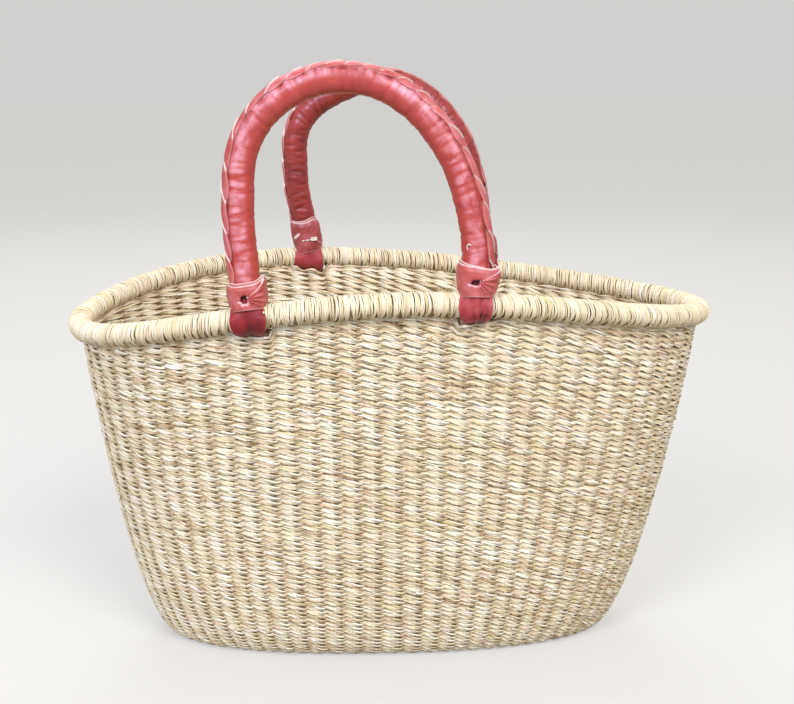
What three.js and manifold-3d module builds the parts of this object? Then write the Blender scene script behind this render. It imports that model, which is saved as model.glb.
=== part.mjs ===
// Woven oval shopping basket with two leather covered arch handles.
// Millimetres, +Z up. The origin is the middle of the flat base, on the surface that it stands on.
// +X runs along the basket and -Y is its front.
import * as THREE from 'three';
import { mergeVertices } from 'three/addons/utils/BufferGeometryUtils.js';
import Module from 'manifold-3d';

const wasm = await Module();
wasm.setup();

// Gap between pieces that touch
const fitGap = 0.3;

// Rim roll: its centreline in plan
const rimHalfLength = 206.5;
const rimHalfDepth = 100.4;
const rimSideFlatness = 2.4;
const rimEndRoundness = 1.62;
const rimEndDifference = 0.15;

// Rim roll: height of its centreline, and how it rises at the long sides and dips at the ends
const rimHeight = 233.2;
const rimSaddle = 12;
const rimEndTilt = 0.7;
const rimRearRise = 1.7;
const rimThreefold = 1.8;
const rimFourfold = 0.6;
const rimCornerTwist = 4.8;
const rimSideTwist = 2.5;

// Rim roll: section
const rimCoreRadius = 6;
const rimWrapThickness = 1.2;
const neckThickness = 2.4;
const neckInset = 2.6;
const neckStep = 0.1;

// Woven wall and base
const wallThickness = 5;
const wallInset = 0.3;
const baseHalfLength = 147.8;
const baseHalfDepth = 49.5;
const baseFlatness = 2.3;
const baseShift = -4.3;
const baseTurn = 26.5;
const sideLean = 0.123;
const endLean = 0.118;
const upperStretch = 0.215;

// Handles
const handleHalfSpan = 66.2;
const handleRise = 133.5;
const handleLean = 4;
const frontHandleShift = -18.2;
const rearHandleShift = 8.5;
const handleCoreRadius = 6.2;
const leatherThickness = 1.7;
const creasePitch = 8.2;
const creaseDepth = 0.35;

// Laced seam along the outside of each arch
const seamHalfWidth = 3;
const seamHeight = 1.6;
const seamFoldStep = 0.9;
const seamFoldPitch = 9.5;
const seamFoldTuck = 0.55;
const seamEndGap = 1;

// Loop round the rim at each foot, its socket for the grass core, and the band round the socket
const loopHalfWidth = 11;
const loopClearance = 0.6;
const loopFlare = 2.4;
const loopLeather = 2.2;
const socketLeather = 2.8;
const socketHeight = 21;
const legStraight = 4;
const bandBottom = 5.6;
const bandHeight = 18.4;
const bandLeather = 2.2;
const bandTopFlare = 0.5;
const bandFlareHeight = 2;

// Slit in each band, the strap tail pulled through it, and the thread tie on the inner side
const slitWidth = 3.2;
const slitHeight = 5.4;
const slitDrop = 1.5;
const tailNeckSweep = 4;
const tailSweep = 62;
const tailThickness = 1.7;
const tailEndHeight = 15;
const tailEdgeShare = 0.6;
const tailSwellShare = 0.7;
const pleatDepth = 0.5;
const threadSweep = 42;
const threadRadius = 0.6;
const knotRadius = 1.7;
const knotPlaceShare = 0.8;

// Facets
const aroundSteps = 60;
const tubeSides = 8;
const legSides = 16;
const loopSides = 20;
const passageSides = 24;
const coreSteps = 22;
const threadSides = 5;
const threadSteps = 6;

const rimRadius = rimCoreRadius + fitGap + rimWrapThickness;
const sleeveInnerRadius = handleCoreRadius + fitGap;
const sleeveRadius = sleeveInnerRadius + leatherThickness + creaseDepth;
const socketRadius = sleeveInnerRadius + socketLeather;
const bandInnerRadius = socketRadius + fitGap;
const loopInnerRadius = rimRadius + loopClearance;
const loopRadius = loopInnerRadius + loopLeather;
const bandRadius = bandInnerRadius + bandLeather;
const bandTop = bandBottom + bandHeight;
const slitMiddle = bandBottom + bandHeight / 2 - slitDrop;
const pastBand = bandRadius + tailThickness * 2 + 1;

const straw = new THREE.MeshStandardMaterial({ color: 0xd9c48f, roughness: 0.8, metalness: 0 });
const paleStraw = new THREE.MeshStandardMaterial({ color: 0xe6d6a6, roughness: 0.7, metalness: 0 });
const grass = new THREE.MeshStandardMaterial({ color: 0xb9a06a, roughness: 0.9, metalness: 0 });
const leather = new THREE.MeshStandardMaterial({ color: 0xb5463c, roughness: 0.5, metalness: 0 });
const darkLeather = new THREE.MeshStandardMaterial({ color: 0x96343a, roughness: 0.55, metalness: 0 });
const bandLeatherFinish = new THREE.MeshStandardMaterial({ color: 0xb85350, roughness: 0.5, metalness: 0 });
const thread = new THREE.MeshStandardMaterial({ color: 0xe9e2dc, roughness: 0.8, metalness: 0 });

// Closed bodies from grids of points

function volumeOf(points, faces) {
  let sum = 0;
  for (const [a, b, c] of faces) {
    sum += points[a].dot(new THREE.Vector3().crossVectors(points[b], points[c]));
  }
  return sum / 6;
}

function bodyFrom(points, faces) {
  const inside = volumeOf(points, faces) < 0;
  const index = faces.flatMap(([a, b, c]) => (inside ? [a, c, b] : [a, b, c]));
  const geometry = new THREE.BufferGeometry();
  geometry.setAttribute('position', new THREE.Float32BufferAttribute(points.flatMap((p) => p.toArray()), 3));
  geometry.setIndex(index);
  geometry.computeVertexNormals();
  return geometry;
}

function gridFaces(rowCount, columnCount, closedRows) {
  const faces = [];
  const lastRow = closedRows ? rowCount : rowCount - 1;
  for (let row = 0; row < lastRow; row += 1) {
    const next = (row + 1) % rowCount;
    for (let column = 0; column < columnCount; column += 1) {
      const right = (column + 1) % columnCount;
      const a = row * columnCount + column;
      const b = row * columnCount + right;
      const c = next * columnCount + right;
      const d = next * columnCount + column;
      faces.push([a, b, c], [a, c, d]);
    }
  }
  return faces;
}

// Rings that join end to end, as in a tube with a bore or a closed hoop
function ringBody(rings) {
  return bodyFrom(rings.flat(), gridFaces(rings.length, rings[0].length, true));
}

// Rings closed by a point at each end
function cappedBody(firstPole, rings, lastPole) {
  const columnCount = rings[0].length;
  const faces = gridFaces(rings.length, columnCount, false);
  const points = [...rings.flat(), firstPole, lastPole];
  const lastRing = (rings.length - 1) * columnCount;
  for (let column = 0; column < columnCount; column += 1) {
    const right = (column + 1) % columnCount;
    faces.push([right, column, points.length - 2]);
    faces.push([lastRing + column, lastRing + right, points.length - 1]);
  }
  return bodyFrom(points, faces);
}

// Boolean joins and cuts

function toManifold(geometry) {
  const bare = geometry.clone();
  bare.deleteAttribute('normal');
  bare.deleteAttribute('uv');
  const merged = mergeVertices(bare, 1e-4);
  const mesh = new wasm.Mesh({
    numProp: 3,
    vertProperties: new Float32Array(merged.attributes.position.array),
    triVerts: new Uint32Array(merged.index.array),
  });
  return new wasm.Manifold(mesh);
}

function toGeometry(manifold) {
  const mesh = manifold.getMesh();
  const geometry = new THREE.BufferGeometry();
  geometry.setAttribute('position', new THREE.BufferAttribute(mesh.vertProperties, 3));
  geometry.setIndex(new THREE.BufferAttribute(mesh.triVerts, 1));
  geometry.computeVertexNormals();
  return geometry;
}

// Rim roll

function signedPower(value, power) {
  return Math.sign(value) * Math.abs(value) ** power;
}

function rimPoint(angle) {
  const c = Math.cos(angle);
  const s = Math.sin(angle);
  const roundness = rimEndRoundness + rimEndDifference * c;
  const reach = Math.max(0, 1 - Math.abs(c) ** rimSideFlatness) ** (1 / roundness);
  const height = rimHeight - rimSaddle * Math.cos(2 * angle) + rimEndTilt * c
    + rimRearRise * s + rimThreefold * Math.cos(3 * angle) + rimFourfold * Math.cos(4 * angle)
    - rimCornerTwist * Math.sin(2 * angle) + rimSideTwist * Math.sin(3 * angle);
  return new THREE.Vector3(rimHalfLength * c, rimHalfDepth * Math.sign(s) * reach, height);
}

function rimOutward(angle) {
  const step = 0.02;
  const ahead = rimPoint(angle + step).sub(rimPoint(angle - step));
  return new THREE.Vector3(ahead.y, -ahead.x, 0).normalize();
}

function angleAtStep(step) {
  return (2 * Math.PI * (step + 0.5)) / aroundSteps;
}

// A point beside the rim's centreline: outward and up from it
function besideRim(angle, outward, up) {
  const point = rimPoint(angle).addScaledVector(rimOutward(angle), outward);
  point.z += up;
  return point;
}

function rimLoop(outward, up) {
  return Array.from({ length: aroundSteps }, (_, step) => besideRim(angleAtStep(step), outward, up));
}

function rimCore() {
  const sides = 6;
  const rings = Array.from({ length: sides }, (_, side) => {
    const turn = (2 * Math.PI * side) / sides;
    return rimLoop(rimCoreRadius * Math.cos(turn), rimCoreRadius * Math.sin(turn));
  });
  return ringBody(rings);
}

// The straw binding goes round the core and is open below, where the wall's stakes enter the roll
function rimWrap() {
  const turns = 8;
  const clearOfCore = (rimCoreRadius + fitGap) / Math.cos(Math.PI / (turns + 1));
  const halfOpening = neckThickness / 2 + fitGap;
  const innerEdge = -neckInset - halfOpening;
  const outerEdge = -neckInset + halfOpening;
  const arc = (radius) => {
    const from = Math.atan2(-Math.sqrt(radius ** 2 - outerEdge ** 2), outerEdge);
    const to = Math.atan2(-Math.sqrt(radius ** 2 - innerEdge ** 2), innerEdge) + 2 * Math.PI;
    return Array.from({ length: turns + 1 }, (_, turn) => {
      const angle = from + ((to - from) * turn) / turns;
      return rimLoop(radius * Math.cos(angle), radius * Math.sin(angle));
    });
  };
  return ringBody([...arc(rimRadius), ...arc(clearOfCore).reverse()]);
}

// Woven wall and base

function basePoint(angle) {
  const power = 2 / baseFlatness;
  const x = baseHalfLength * signedPower(Math.cos(angle), power) + baseShift;
  const y = baseHalfDepth * signedPower(Math.sin(angle), power);
  return new THREE.Vector3(x, y, 0);
}

// The wall's section at one place round the basket, as a curve of distance out and height
function wallSection(angle) {
  const foot = basePoint(angle);
  const top = besideRim(angle, -wallInset, -rimRadius - fitGap);
  const outward = new THREE.Vector3(top.x - foot.x, top.y - foot.y, 0);
  const reach = outward.length();
  outward.normalize();
  const endShare = (top.x / rimHalfLength) ** 2;
  const lean = sideLean + (endLean - sideLean) * endShare;
  const curve = new THREE.CubicBezierCurve(
    new THREE.Vector2(0, 0),
    new THREE.Vector2(baseTurn, 0),
    new THREE.Vector2(reach - lean * upperStretch * top.z, top.z * (1 - upperStretch)),
    new THREE.Vector2(reach, top.z),
  );
  return { foot, outward, curve };
}

function wallPoint(angle, share, depth) {
  const { foot, outward, curve } = wallSection(angle);
  const place = curve.getPoint(share);
  const along = curve.getTangent(share);
  const out = place.x - along.y * depth;
  const up = place.y + along.x * depth;
  return foot.clone().addScaledVector(outward, out).setZ(up);
}

function wallLoop(share, depth) {
  return Array.from({ length: aroundSteps }, (_, step) => wallPoint(angleAtStep(step), share, depth));
}

function baseLoop(scale, height) {
  return Array.from({ length: aroundSteps }, (_, step) => {
    const point = basePoint(angleAtStep(step));
    return new THREE.Vector3((point.x - baseShift) * scale + baseShift, point.y * scale, height);
  });
}

function wovenShell() {
  const shares = [0, 0.07, 0.15, 0.25, 0.38, 0.53, 0.7, 0.86, 1];
  const outside = shares.map((share) => wallLoop(share, 0));
  const inside = shares.slice(0, -1).reverse().map((share) => wallLoop(share, wallThickness));
  const underRoll = -rimRadius - fitGap;
  const neckOut = -neckInset + neckThickness / 2;
  const neckIn = -neckInset - neckThickness / 2;
  const neckTop = -rimCoreRadius - fitGap;
  const shoulderIn = -wallInset - wallThickness;
  const shoulderHeight = -Math.sqrt(Math.max(0, (rimRadius + 2 * fitGap) ** 2 - shoulderIn ** 2));
  const neckInHeight = -Math.sqrt((rimRadius + 2 * fitGap) ** 2 - neckIn ** 2);
  const edge = [
    rimLoop(neckOut, underRoll + neckStep),
    rimLoop(neckOut, neckTop),
    rimLoop(neckIn, neckTop),
    rimLoop(neckIn, neckInHeight),
    rimLoop(shoulderIn, shoulderHeight),
  ];
  const halfway = 0.55;
  const rings = [baseLoop(halfway, 0), ...outside, ...edge, ...inside, baseLoop(halfway, wallThickness)];
  const middle = new THREE.Vector3(baseShift, 0, 0);
  return cappedBody(middle, rings, middle.clone().setZ(wallThickness));
}

// Handles

function rimAngleAt(x, side) {
  return side * Math.acos(x / rimHalfLength);
}

const handles = [
  {
    name: 'front',
    side: -1,
    shift: frontHandleShift,
    // Arch outline: share of the half span, share of the rise
    outline: [
      [-1, 0], [-1.015, 0.25], [-1.01, 0.52], [-0.91, 0.76], [-0.58, 0.935], [-0.12, 1],
      [0.36, 0.935], [0.74, 0.73], [0.92, 0.5], [0.99, 0.24], [1, 0],
    ],
  },
  {
    name: 'rear',
    side: 1,
    shift: rearHandleShift,
    outline: [
      [-1, 0], [-1.08, 0.2], [-1.19, 0.46], [-1.17, 0.73], [-0.87, 0.89], [-0.34, 0.99],
      [0.12, 0.93], [0.54, 0.73], [0.76, 0.5], [0.92, 0.24], [1, 0],
    ],
  },
];

// Each handle's own axes: X from its left foot to its right foot, Z up its plane, Y towards the rear
function handlePlace(handle) {
  const left = rimPoint(rimAngleAt(handle.shift - handleHalfSpan, handle.side));
  const right = rimPoint(rimAngleAt(handle.shift + handleHalfSpan, handle.side));
  const across = right.clone().sub(left);
  const halfSpan = across.length() / 2;
  across.normalize();
  const lean = THREE.MathUtils.degToRad(handleLean);
  const up = new THREE.Vector3(0, -handle.side * Math.sin(lean), Math.cos(lean));
  up.addScaledVector(across, -up.dot(across)).normalize();
  const rearward = new THREE.Vector3().crossVectors(up, across);
  const matrix = new THREE.Matrix4().makeBasis(across, rearward, up);
  matrix.setPosition(left.clone().add(right).multiplyScalar(0.5));
  return { matrix, halfSpan };
}

// The arch's centreline. Both legs stay straight up to the top of their sockets.
function archCurve(handle, halfSpan) {
  const points = handle.outline.map(([u, w]) => new THREE.Vector3(u * halfSpan, 0, w * handleRise));
  const [leftFoot, leftLeg] = points;
  const [rightLeg, rightFoot] = points.slice(-2);
  const straight = [0.5, 1].map((share) => share * (socketHeight + legStraight));
  const onLeg = (foot, leg, height) => foot.clone().lerp(leg, height / leg.z);
  points.splice(1, 0, ...straight.map((height) => onLeg(leftFoot, leftLeg, height)));
  points.splice(-1, 0, ...straight.reverse().map((height) => onLeg(rightFoot, rightLeg, height)));
  return new THREE.CatmullRomCurve3(points, false, 'centripetal');
}

// Angle by which a leg leans along the handle's X axis
function legTilt(curve, fromEnd) {
  const foot = curve.getPointAt(fromEnd ? 1 : 0);
  const knee = curve.getPointAt(shareAtHeight(curve, socketHeight / 2, fromEnd));
  return Math.atan2(knee.x - foot.x, knee.z - foot.z);
}

// Shares of the arch's length at which a leg has climbed to a height
function shareAtHeight(curve, height, fromEnd) {
  const steps = 2000;
  for (let step = 0; step <= steps; step += 1) {
    const share = fromEnd ? 1 - step / steps : step / steps;
    if (curve.getPointAt(share).z >= height) return share;
  }
  return 0.5;
}

// A point beside the arch: out from the bend, and towards the rear
function besideArch(curve, share, out, rearward) {
  const place = curve.getPointAt(share);
  const along = curve.getTangentAt(share);
  const outward = new THREE.Vector3(-along.z, 0, along.x);
  return place.addScaledVector(outward, out).add(new THREE.Vector3(0, rearward, 0));
}

// Eight-sided ring with a flat side facing out of the bend
function archRing(curve, share, radius) {
  return Array.from({ length: tubeSides }, (_, side) => {
    const turn = (2 * Math.PI * (side + 0.5)) / tubeSides;
    return besideArch(curve, share, radius * Math.cos(turn), radius * Math.sin(turn));
  });
}

function spread(from, to, count) {
  return Array.from({ length: count + 1 }, (_, step) => from + ((to - from) * step) / count);
}

// Shares of the arch's length at which the core, and the sleeve round it, have their rings
function coreShares(curve) {
  const bottom = loopRadius + loopFlare + fitGap;
  return spread(shareAtHeight(curve, bottom, false), shareAtHeight(curve, bottom, true), coreSteps);
}

function handleCore(curve) {
  const shares = coreShares(curve);
  const rings = shares.map((share) => archRing(curve, share, handleCoreRadius));
  return cappedBody(curve.getPointAt(shares[0]), rings, curve.getPointAt(shares[coreSteps]));
}

// Leather sleeve with its rings of creases, open at both ends round the grass core
function handleSleeve(curve) {
  const from = shareAtHeight(curve, socketHeight + fitGap, false);
  const to = shareAtHeight(curve, socketHeight + fitGap, true);
  const creases = Math.round(((to - from) * curve.getLength()) / creasePitch);
  const outside = spread(from, to, creases * 2).map((share, ring) => {
    const radius = sleeveRadius - (ring % 2 === 0 ? creaseDepth : 0);
    return archRing(curve, share, radius);
  });
  const between = coreShares(curve).filter((share) => share > from && share < to);
  const inside = [from, ...between, to].reverse().map((share) => archRing(curve, share, sleeveInnerRadius));
  return ringBody([...outside, ...inside]);
}

// Seam of lapped leather folds: each fold rises along the arch and drops under the next
function handleSeam(curve) {
  const seat = sleeveRadius * Math.cos(Math.PI / tubeSides) + fitGap;
  const bottom = bandTop + fitGap + seamEndGap;
  const from = shareAtHeight(curve, bottom, false);
  const to = shareAtHeight(curve, bottom, true);
  const folds = Math.round(((to - from) * curve.getLength()) / seamFoldPitch);
  const foldShare = (to - from) / folds;
  const rings = [];
  for (let fold = 0; fold < folds; fold += 1) {
    const sway = fold % 2 === 0 ? seamFoldStep : -seamFoldStep;
    const start = from + foldShare * fold;
    const ends = [
      { share: 0.04, rise: seamFoldTuck, ridge: -sway },
      { share: 0.94, rise: 1, ridge: sway },
    ];
    for (const { share, rise, ridge } of ends) {
      const place = start + foldShare * share;
      rings.push([
        besideArch(curve, place, seat, -seamHalfWidth),
        besideArch(curve, place, seat + seamHeight * rise, ridge),
        besideArch(curve, place, seat, seamHalfWidth),
      ]);
    }
  }
  const endHeight = seat + seamHeight / 3;
  return cappedBody(besideArch(curve, from, endHeight, 0), rings, besideArch(curve, to, endHeight, 0));
}

// Solid of revolution about the handle's own X axis
function turnedAcross(profile, segments) {
  const closed = [...profile, profile[0]].map(([across, radius]) => new THREE.Vector2(radius, across));
  const geometry = new THREE.LatheGeometry(closed, segments);
  geometry.rotateZ(-Math.PI / 2);
  return geometry;
}

// Solid of revolution about the leg
function turnedUpright(profile, segments) {
  const closed = [...profile, profile[0]].map(([radius, height]) => new THREE.Vector2(radius, height));
  const geometry = new THREE.LatheGeometry(closed, segments);
  geometry.rotateX(Math.PI / 2);
  return geometry;
}

// Room for the rim roll, wider at its ends because the rim curves
function roomForRim(halfLength) {
  const end = loopInnerRadius + (loopFlare * halfLength) / loopHalfWidth;
  return turnedAcross([
    [-halfLength, 0], [-halfLength, end], [0, loopInnerRadius], [halfLength, end], [halfLength, 0],
  ], loopSides);
}

// Loop round the rim roll, with a socket for the core on top
function footLoop(tilt) {
  const w = loopHalfWidth;
  const ring = turnedAcross([
    [-w, 0], [-w, loopRadius + loopFlare], [0, loopRadius], [w, loopRadius + loopFlare], [w, 0],
  ], loopSides);
  const bore = roomForRim(w + 1);
  const pastLoop = w + loopRadius + loopFlare;
  const underBand = turnedUpright([
    [0, bandBottom - fitGap], [pastLoop, bandBottom - fitGap],
    [pastLoop, socketHeight], [0, socketHeight],
  ], legSides);
  const socket = turnedUpright([
    [0, 0], [socketRadius, 0], [socketRadius, socketHeight], [0, socketHeight],
  ], legSides);
  const coreSeat = loopRadius + loopFlare;
  const hollow = turnedUpright([
    [0, coreSeat], [sleeveInnerRadius, coreSeat], [sleeveInnerRadius, socketHeight + 1], [0, socketHeight + 1],
  ], legSides);
  for (const piece of [underBand, socket, hollow]) piece.rotateY(tilt);
  const loop = toManifold(ring).subtract(toManifold(underBand)).add(toManifold(socket));
  return toGeometry(loop.subtract(toManifold(bore)).subtract(toManifold(hollow)));
}

// What lies round the leg, without the room that the rim roll takes under it
function clearOfRim(piece, tilt) {
  const room = roomForRim(pastBand);
  room.rotateY(-tilt);
  return toGeometry(piece.subtract(toManifold(room)));
}

// Leather band round the socket, with a raised raw edge and a slit on its outer side
function footBand(side, tilt) {
  const flareBottom = bandTop - bandFlareHeight;
  const band = turnedUpright([
    [bandInnerRadius, bandBottom], [bandRadius, bandBottom], [bandRadius, flareBottom],
    [bandRadius + bandTopFlare, bandTop], [bandInnerRadius + bandTopFlare, bandTop],
    [bandInnerRadius, flareBottom],
  ], legSides);
  const slit = new THREE.BoxGeometry(slitWidth, 3 * bandLeather, slitHeight);
  slit.translate(0, side * bandRadius, slitMiddle);
  return clearOfRim(toManifold(band).subtract(toManifold(slit)), tilt);
}

// Strap tail: a neck in the slit, then pleats that fan out round the band
function strapTail(side, tilt) {
  const start = bandRadius + bandTopFlare + fitGap;
  const stations = 7;
  const folds = 6;
  const onBand = (angle, radius, height) => {
    const turn = THREE.MathUtils.degToRad(angle);
    return new THREE.Vector3(radius * Math.sin(turn), side * radius * Math.cos(turn), height);
  };
  const rings = spread(-tailNeckSweep, tailSweep, stations).map((angle, station) => {
    const share = station / stations;
    const height = slitHeight + (tailEndHeight - slitHeight) * Math.sqrt(share);
    const swell = Math.sin(Math.PI * Math.min(1, share + 1 / stations));
    const lift = tailThickness * (tailEdgeShare + tailSwellShare * swell);
    const outer = spread(-0.5, 0.5, folds).map((place, fold) => {
      const pleat = fold % 2 === 0 ? 0 : pleatDepth;
      return onBand(angle, start + lift + pleat, slitMiddle + height * place);
    });
    const inner = [0.5, -0.5].map((place) => onBand(angle, start, slitMiddle + height * place));
    return [...outer, ...inner];
  });
  const fan = cappedBody(
    onBand(-tailNeckSweep, start + tailThickness / 3, slitMiddle), rings,
    onBand(tailSweep, start + tailThickness / 3, slitMiddle),
  );
  const neckLength = start + tailThickness / 2 - socketRadius - fitGap;
  const neck = new THREE.BoxGeometry(slitWidth - 2 * fitGap, neckLength, slitHeight - 2 * fitGap);
  neck.translate(0, side * (socketRadius + fitGap + neckLength / 2), slitMiddle);
  return clearOfRim(toManifold(fan).add(toManifold(neck)), tilt);
}

// Thread tie across the inner side of the band, knotted at its right end
function threadTie(side) {
  const radius = bandRadius + 1.5 * fitGap + threadRadius;
  const height = bandBottom + bandHeight / 2;
  const halfSweep = THREE.MathUtils.degToRad(threadSweep);
  const points = spread(-halfSweep, halfSweep, threadSteps).map((turn) => (
    new THREE.Vector3(radius * Math.sin(turn), -side * radius * Math.cos(turn), height)
  ));
  const curve = new THREE.CatmullRomCurve3(points);
  const section = new THREE.Shape(Array.from({ length: threadSides }, (_, corner) => {
    const turn = (2 * Math.PI * corner) / threadSides;
    return new THREE.Vector2(threadRadius * Math.cos(turn), threadRadius * Math.sin(turn));
  }));
  const cord = new THREE.ExtrudeGeometry(section, { steps: threadSteps, extrudePath: curve });
  const knot = new THREE.SphereGeometry(knotRadius, 7, 5);
  const knotTurn = halfSweep * knotPlaceShare;
  const knotReach = radius - threadRadius + knotRadius;
  knot.translate(knotReach * Math.sin(knotTurn), -side * knotReach * Math.cos(knotTurn), height);
  return toGeometry(toManifold(cord).add(toManifold(knot)));
}

// Assembly

const basket = new THREE.Group();

function addMesh(parent, name, geometry, material) {
  const mesh = new THREE.Mesh(geometry, material);
  mesh.name = name;
  parent.add(mesh);
}

// Room in the wall, under the roll, for the loops that pass through it
function loopPassage(matrix, x) {
  const radius = loopRadius + loopFlare + 2 * fitGap;
  const halfWidth = loopHalfWidth + 2 * fitGap;
  const profile = [[-halfWidth, 0], [-halfWidth, radius], [halfWidth, radius], [halfWidth, 0]];
  const room = turnedAcross(profile, passageSides);
  room.translate(x, 0, 0);
  room.applyMatrix4(matrix);
  return toManifold(room);
}

let shell = toManifold(wovenShell());
for (const handle of handles) {
  const { matrix, halfSpan } = handlePlace(handle);
  shell = shell.subtract(loopPassage(matrix, -halfSpan)).subtract(loopPassage(matrix, halfSpan));
}
addMesh(basket, 'woven_body', toGeometry(shell), straw);
addMesh(basket, 'rim_core', rimCore(), grass);
addMesh(basket, 'rim_wrap', rimWrap(), paleStraw);

for (const handle of handles) {
  const { matrix, halfSpan } = handlePlace(handle);
  const curve = archCurve(handle, halfSpan);
  const arch = new THREE.Group();
  arch.applyMatrix4(matrix);
  addMesh(arch, `${handle.name}_handle_core`, handleCore(curve), grass);
  addMesh(arch, `${handle.name}_handle_sleeve`, handleSleeve(curve), leather);
  addMesh(arch, `${handle.name}_handle_seam`, handleSeam(curve), leather);
  for (const [end, x] of [['left', -halfSpan], ['right', halfSpan]]) {
    const tilt = legTilt(curve, end === 'right');
    const foot = new THREE.Group();
    foot.position.x = x;
    const leg = new THREE.Group();
    leg.rotation.y = tilt;
    foot.add(leg);
    addMesh(foot, `${handle.name}_${end}_loop`, footLoop(tilt), darkLeather);
    addMesh(leg, `${handle.name}_${end}_band`, footBand(handle.side, tilt), bandLeatherFinish);
    addMesh(leg, `${handle.name}_${end}_tail`, strapTail(handle.side, tilt), bandLeatherFinish);
    addMesh(leg, `${handle.name}_${end}_tie`, threadTie(handle.side), thread);
    arch.add(foot);
  }
  basket.add(arch);
}

export default basket;
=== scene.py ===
"""Looks of an oval, twined straw shopping basket with two leather covered handles.

Blender works in metres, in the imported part's own frame: +X along the basket, -Y its front,
+Z up, and the flat base on z = 0. Sizes in the classes below are in millimetres.
"""

import enum
import logging
import math
from collections.abc import Sequence
from dataclasses import dataclass, field
from typing import Any

import bpy
import numpy as np
from bpy.types import Material, Node, NodeSocket, NodeTree, Object
from mathutils import Matrix, Vector


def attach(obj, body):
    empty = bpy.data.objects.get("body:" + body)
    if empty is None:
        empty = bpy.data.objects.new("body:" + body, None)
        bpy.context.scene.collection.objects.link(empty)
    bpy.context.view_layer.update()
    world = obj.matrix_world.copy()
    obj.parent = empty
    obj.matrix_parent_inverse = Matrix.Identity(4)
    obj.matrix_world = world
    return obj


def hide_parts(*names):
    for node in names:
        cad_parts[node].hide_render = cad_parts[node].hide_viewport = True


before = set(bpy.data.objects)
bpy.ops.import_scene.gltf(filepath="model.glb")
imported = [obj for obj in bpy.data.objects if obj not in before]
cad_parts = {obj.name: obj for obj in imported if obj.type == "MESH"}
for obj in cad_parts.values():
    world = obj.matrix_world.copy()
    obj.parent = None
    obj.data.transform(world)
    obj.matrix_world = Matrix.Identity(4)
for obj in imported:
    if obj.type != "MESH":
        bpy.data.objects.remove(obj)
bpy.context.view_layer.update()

Array = np.ndarray
Values = Array | float
Random = np.random.Generator
Pair = tuple[float, float]
Triple = tuple[float, float, float]
Stops = tuple[tuple[float, str], ...]
MM = 0.001
FULL_TURN = 2.0 * math.pi
TINY = 1e-9
# Turn angles start just past 0, where the outlines' powers give no direction.
FIRST_ANGLE = 1e-4
# Points of a leather grid closer than this, in metres, are joined, and its edges stay sharp
# from this angle on.
WELD_DISTANCE = 1e-6
SHARP_ANGLE = math.radians(55.0)
LOT_ATTRIBUTE = "straw_lot"
EVEN_LOT = (0.5, 0.5, 0.5)
TINT_ATTRIBUTE = "leather_tint"

log = logging.getLogger("straw_basket")


# Small helpers


def unit(vectors: Array) -> Array:
    """Scales each vector of the last axis to length one.

    Args:
        vectors: any number of 3-D vectors.

    Returns:
        The same vectors with length one.
    """
    length = np.linalg.norm(vectors, axis=-1, keepdims=True)
    return vectors / np.maximum(length, TINY)


def signed_power(values: Array, power: float) -> Array:
    """Raises the size of each value to a power and keeps its sign."""
    return np.sign(values) * np.abs(values) ** power


def smooth_step(values: Array, low: float, high: float) -> Array:
    """Runs smoothly from 0 at low to 1 at high.

    Args:
        values: where the step is read.
        low: the value up to which the result is 0.
        high: the value from which the result is 1.

    Returns:
        The step at each value.
    """
    share = np.clip((values - low) / (high - low), 0.0, 1.0)
    return share * share * (3.0 - 2.0 * share)


def ring_noise(rng: Random, turns: Array, waves: int, roughness: float) -> Array:
    """Smooth random values round a closed ring.

    Args:
        rng: source of seeded random numbers.
        turns: places round the ring, as shares of one turn.
        waves: the number of waves that are added up.
        roughness: how much the short waves keep of the long ones' height, from 0 to 1.

    Returns:
        Values of about -1 to 1 at each place.
    """
    total = np.zeros_like(turns)
    weight = 0.0
    for wave in range(1, waves + 1):
        height = roughness ** (wave - 1)
        total += height * np.sin(FULL_TURN * (wave * turns + rng.random()))
        weight += height * height
    return total / math.sqrt(weight)


def length_along(line: Array) -> Array:
    """Length along a line at each of its points.

    Args:
        line: points of the line, in order.

    Returns:
        Lengths, from 0 at the first point.
    """
    steps = np.linalg.norm(np.diff(line, axis=0), axis=-1)
    return np.concatenate([[0.0], np.cumsum(steps)])


def linear_colour(code: str) -> tuple[float, float, float, float]:
    """Turns an sRGB hex colour into Blender's linear RGBA.

    Args:
        code: six hex digits.

    Returns:
        Linear red, green and blue, and 1.
    """
    channels = []
    for start in (0, 2, 4):
        value = int(code[start:start + 2], 16) / 255.0
        channels.append(value / 12.92 if value <= 0.04045 else ((value + 0.055) / 1.055) ** 2.4)
    return (*channels, 1.0)


# Materials


def set_inputs(tree: NodeTree, node: Node, inputs: dict[str | int, Any]) -> None:
    """Sets or links input sockets of a node.

    Args:
        tree: the node tree that holds the node.
        node: the node.
        inputs: input socket name or number, with a value or an output socket.
    """
    for name, value in inputs.items():
        if isinstance(value, NodeSocket):
            tree.links.new(value, node.inputs[name])
        else:
            node.inputs[name].default_value = value


def add_node(
    tree: NodeTree, kind: str, inputs: dict[str | int, Any] | None = None, **settings: Any,
) -> Node:
    """Adds one node with its settings, values and links.

    Args:
        tree: the node tree that takes the node.
        kind: Blender's name of the node type.
        inputs: input socket name or number, with a value or an output socket.
        **settings: attributes of the node itself.

    Returns:
        The new node.
    """
    node = tree.nodes.new(kind)
    for name, value in settings.items():
        setattr(node, name, value)
    set_inputs(tree, node, inputs or {})
    return node


def set_ramp(node: Node, stops: Stops) -> None:
    """Gives a colour ramp its stops.

    Args:
        node: the colour ramp node.
        stops: place from 0 to 1 and sRGB hex colour of each stop, in order.
    """
    elements = node.color_ramp.elements
    while len(elements) < len(stops):
        elements.new(1.0)
    for element, (place, code) in zip(elements, stops):
        element.position = place
        element.color = linear_colour(code)


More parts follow.
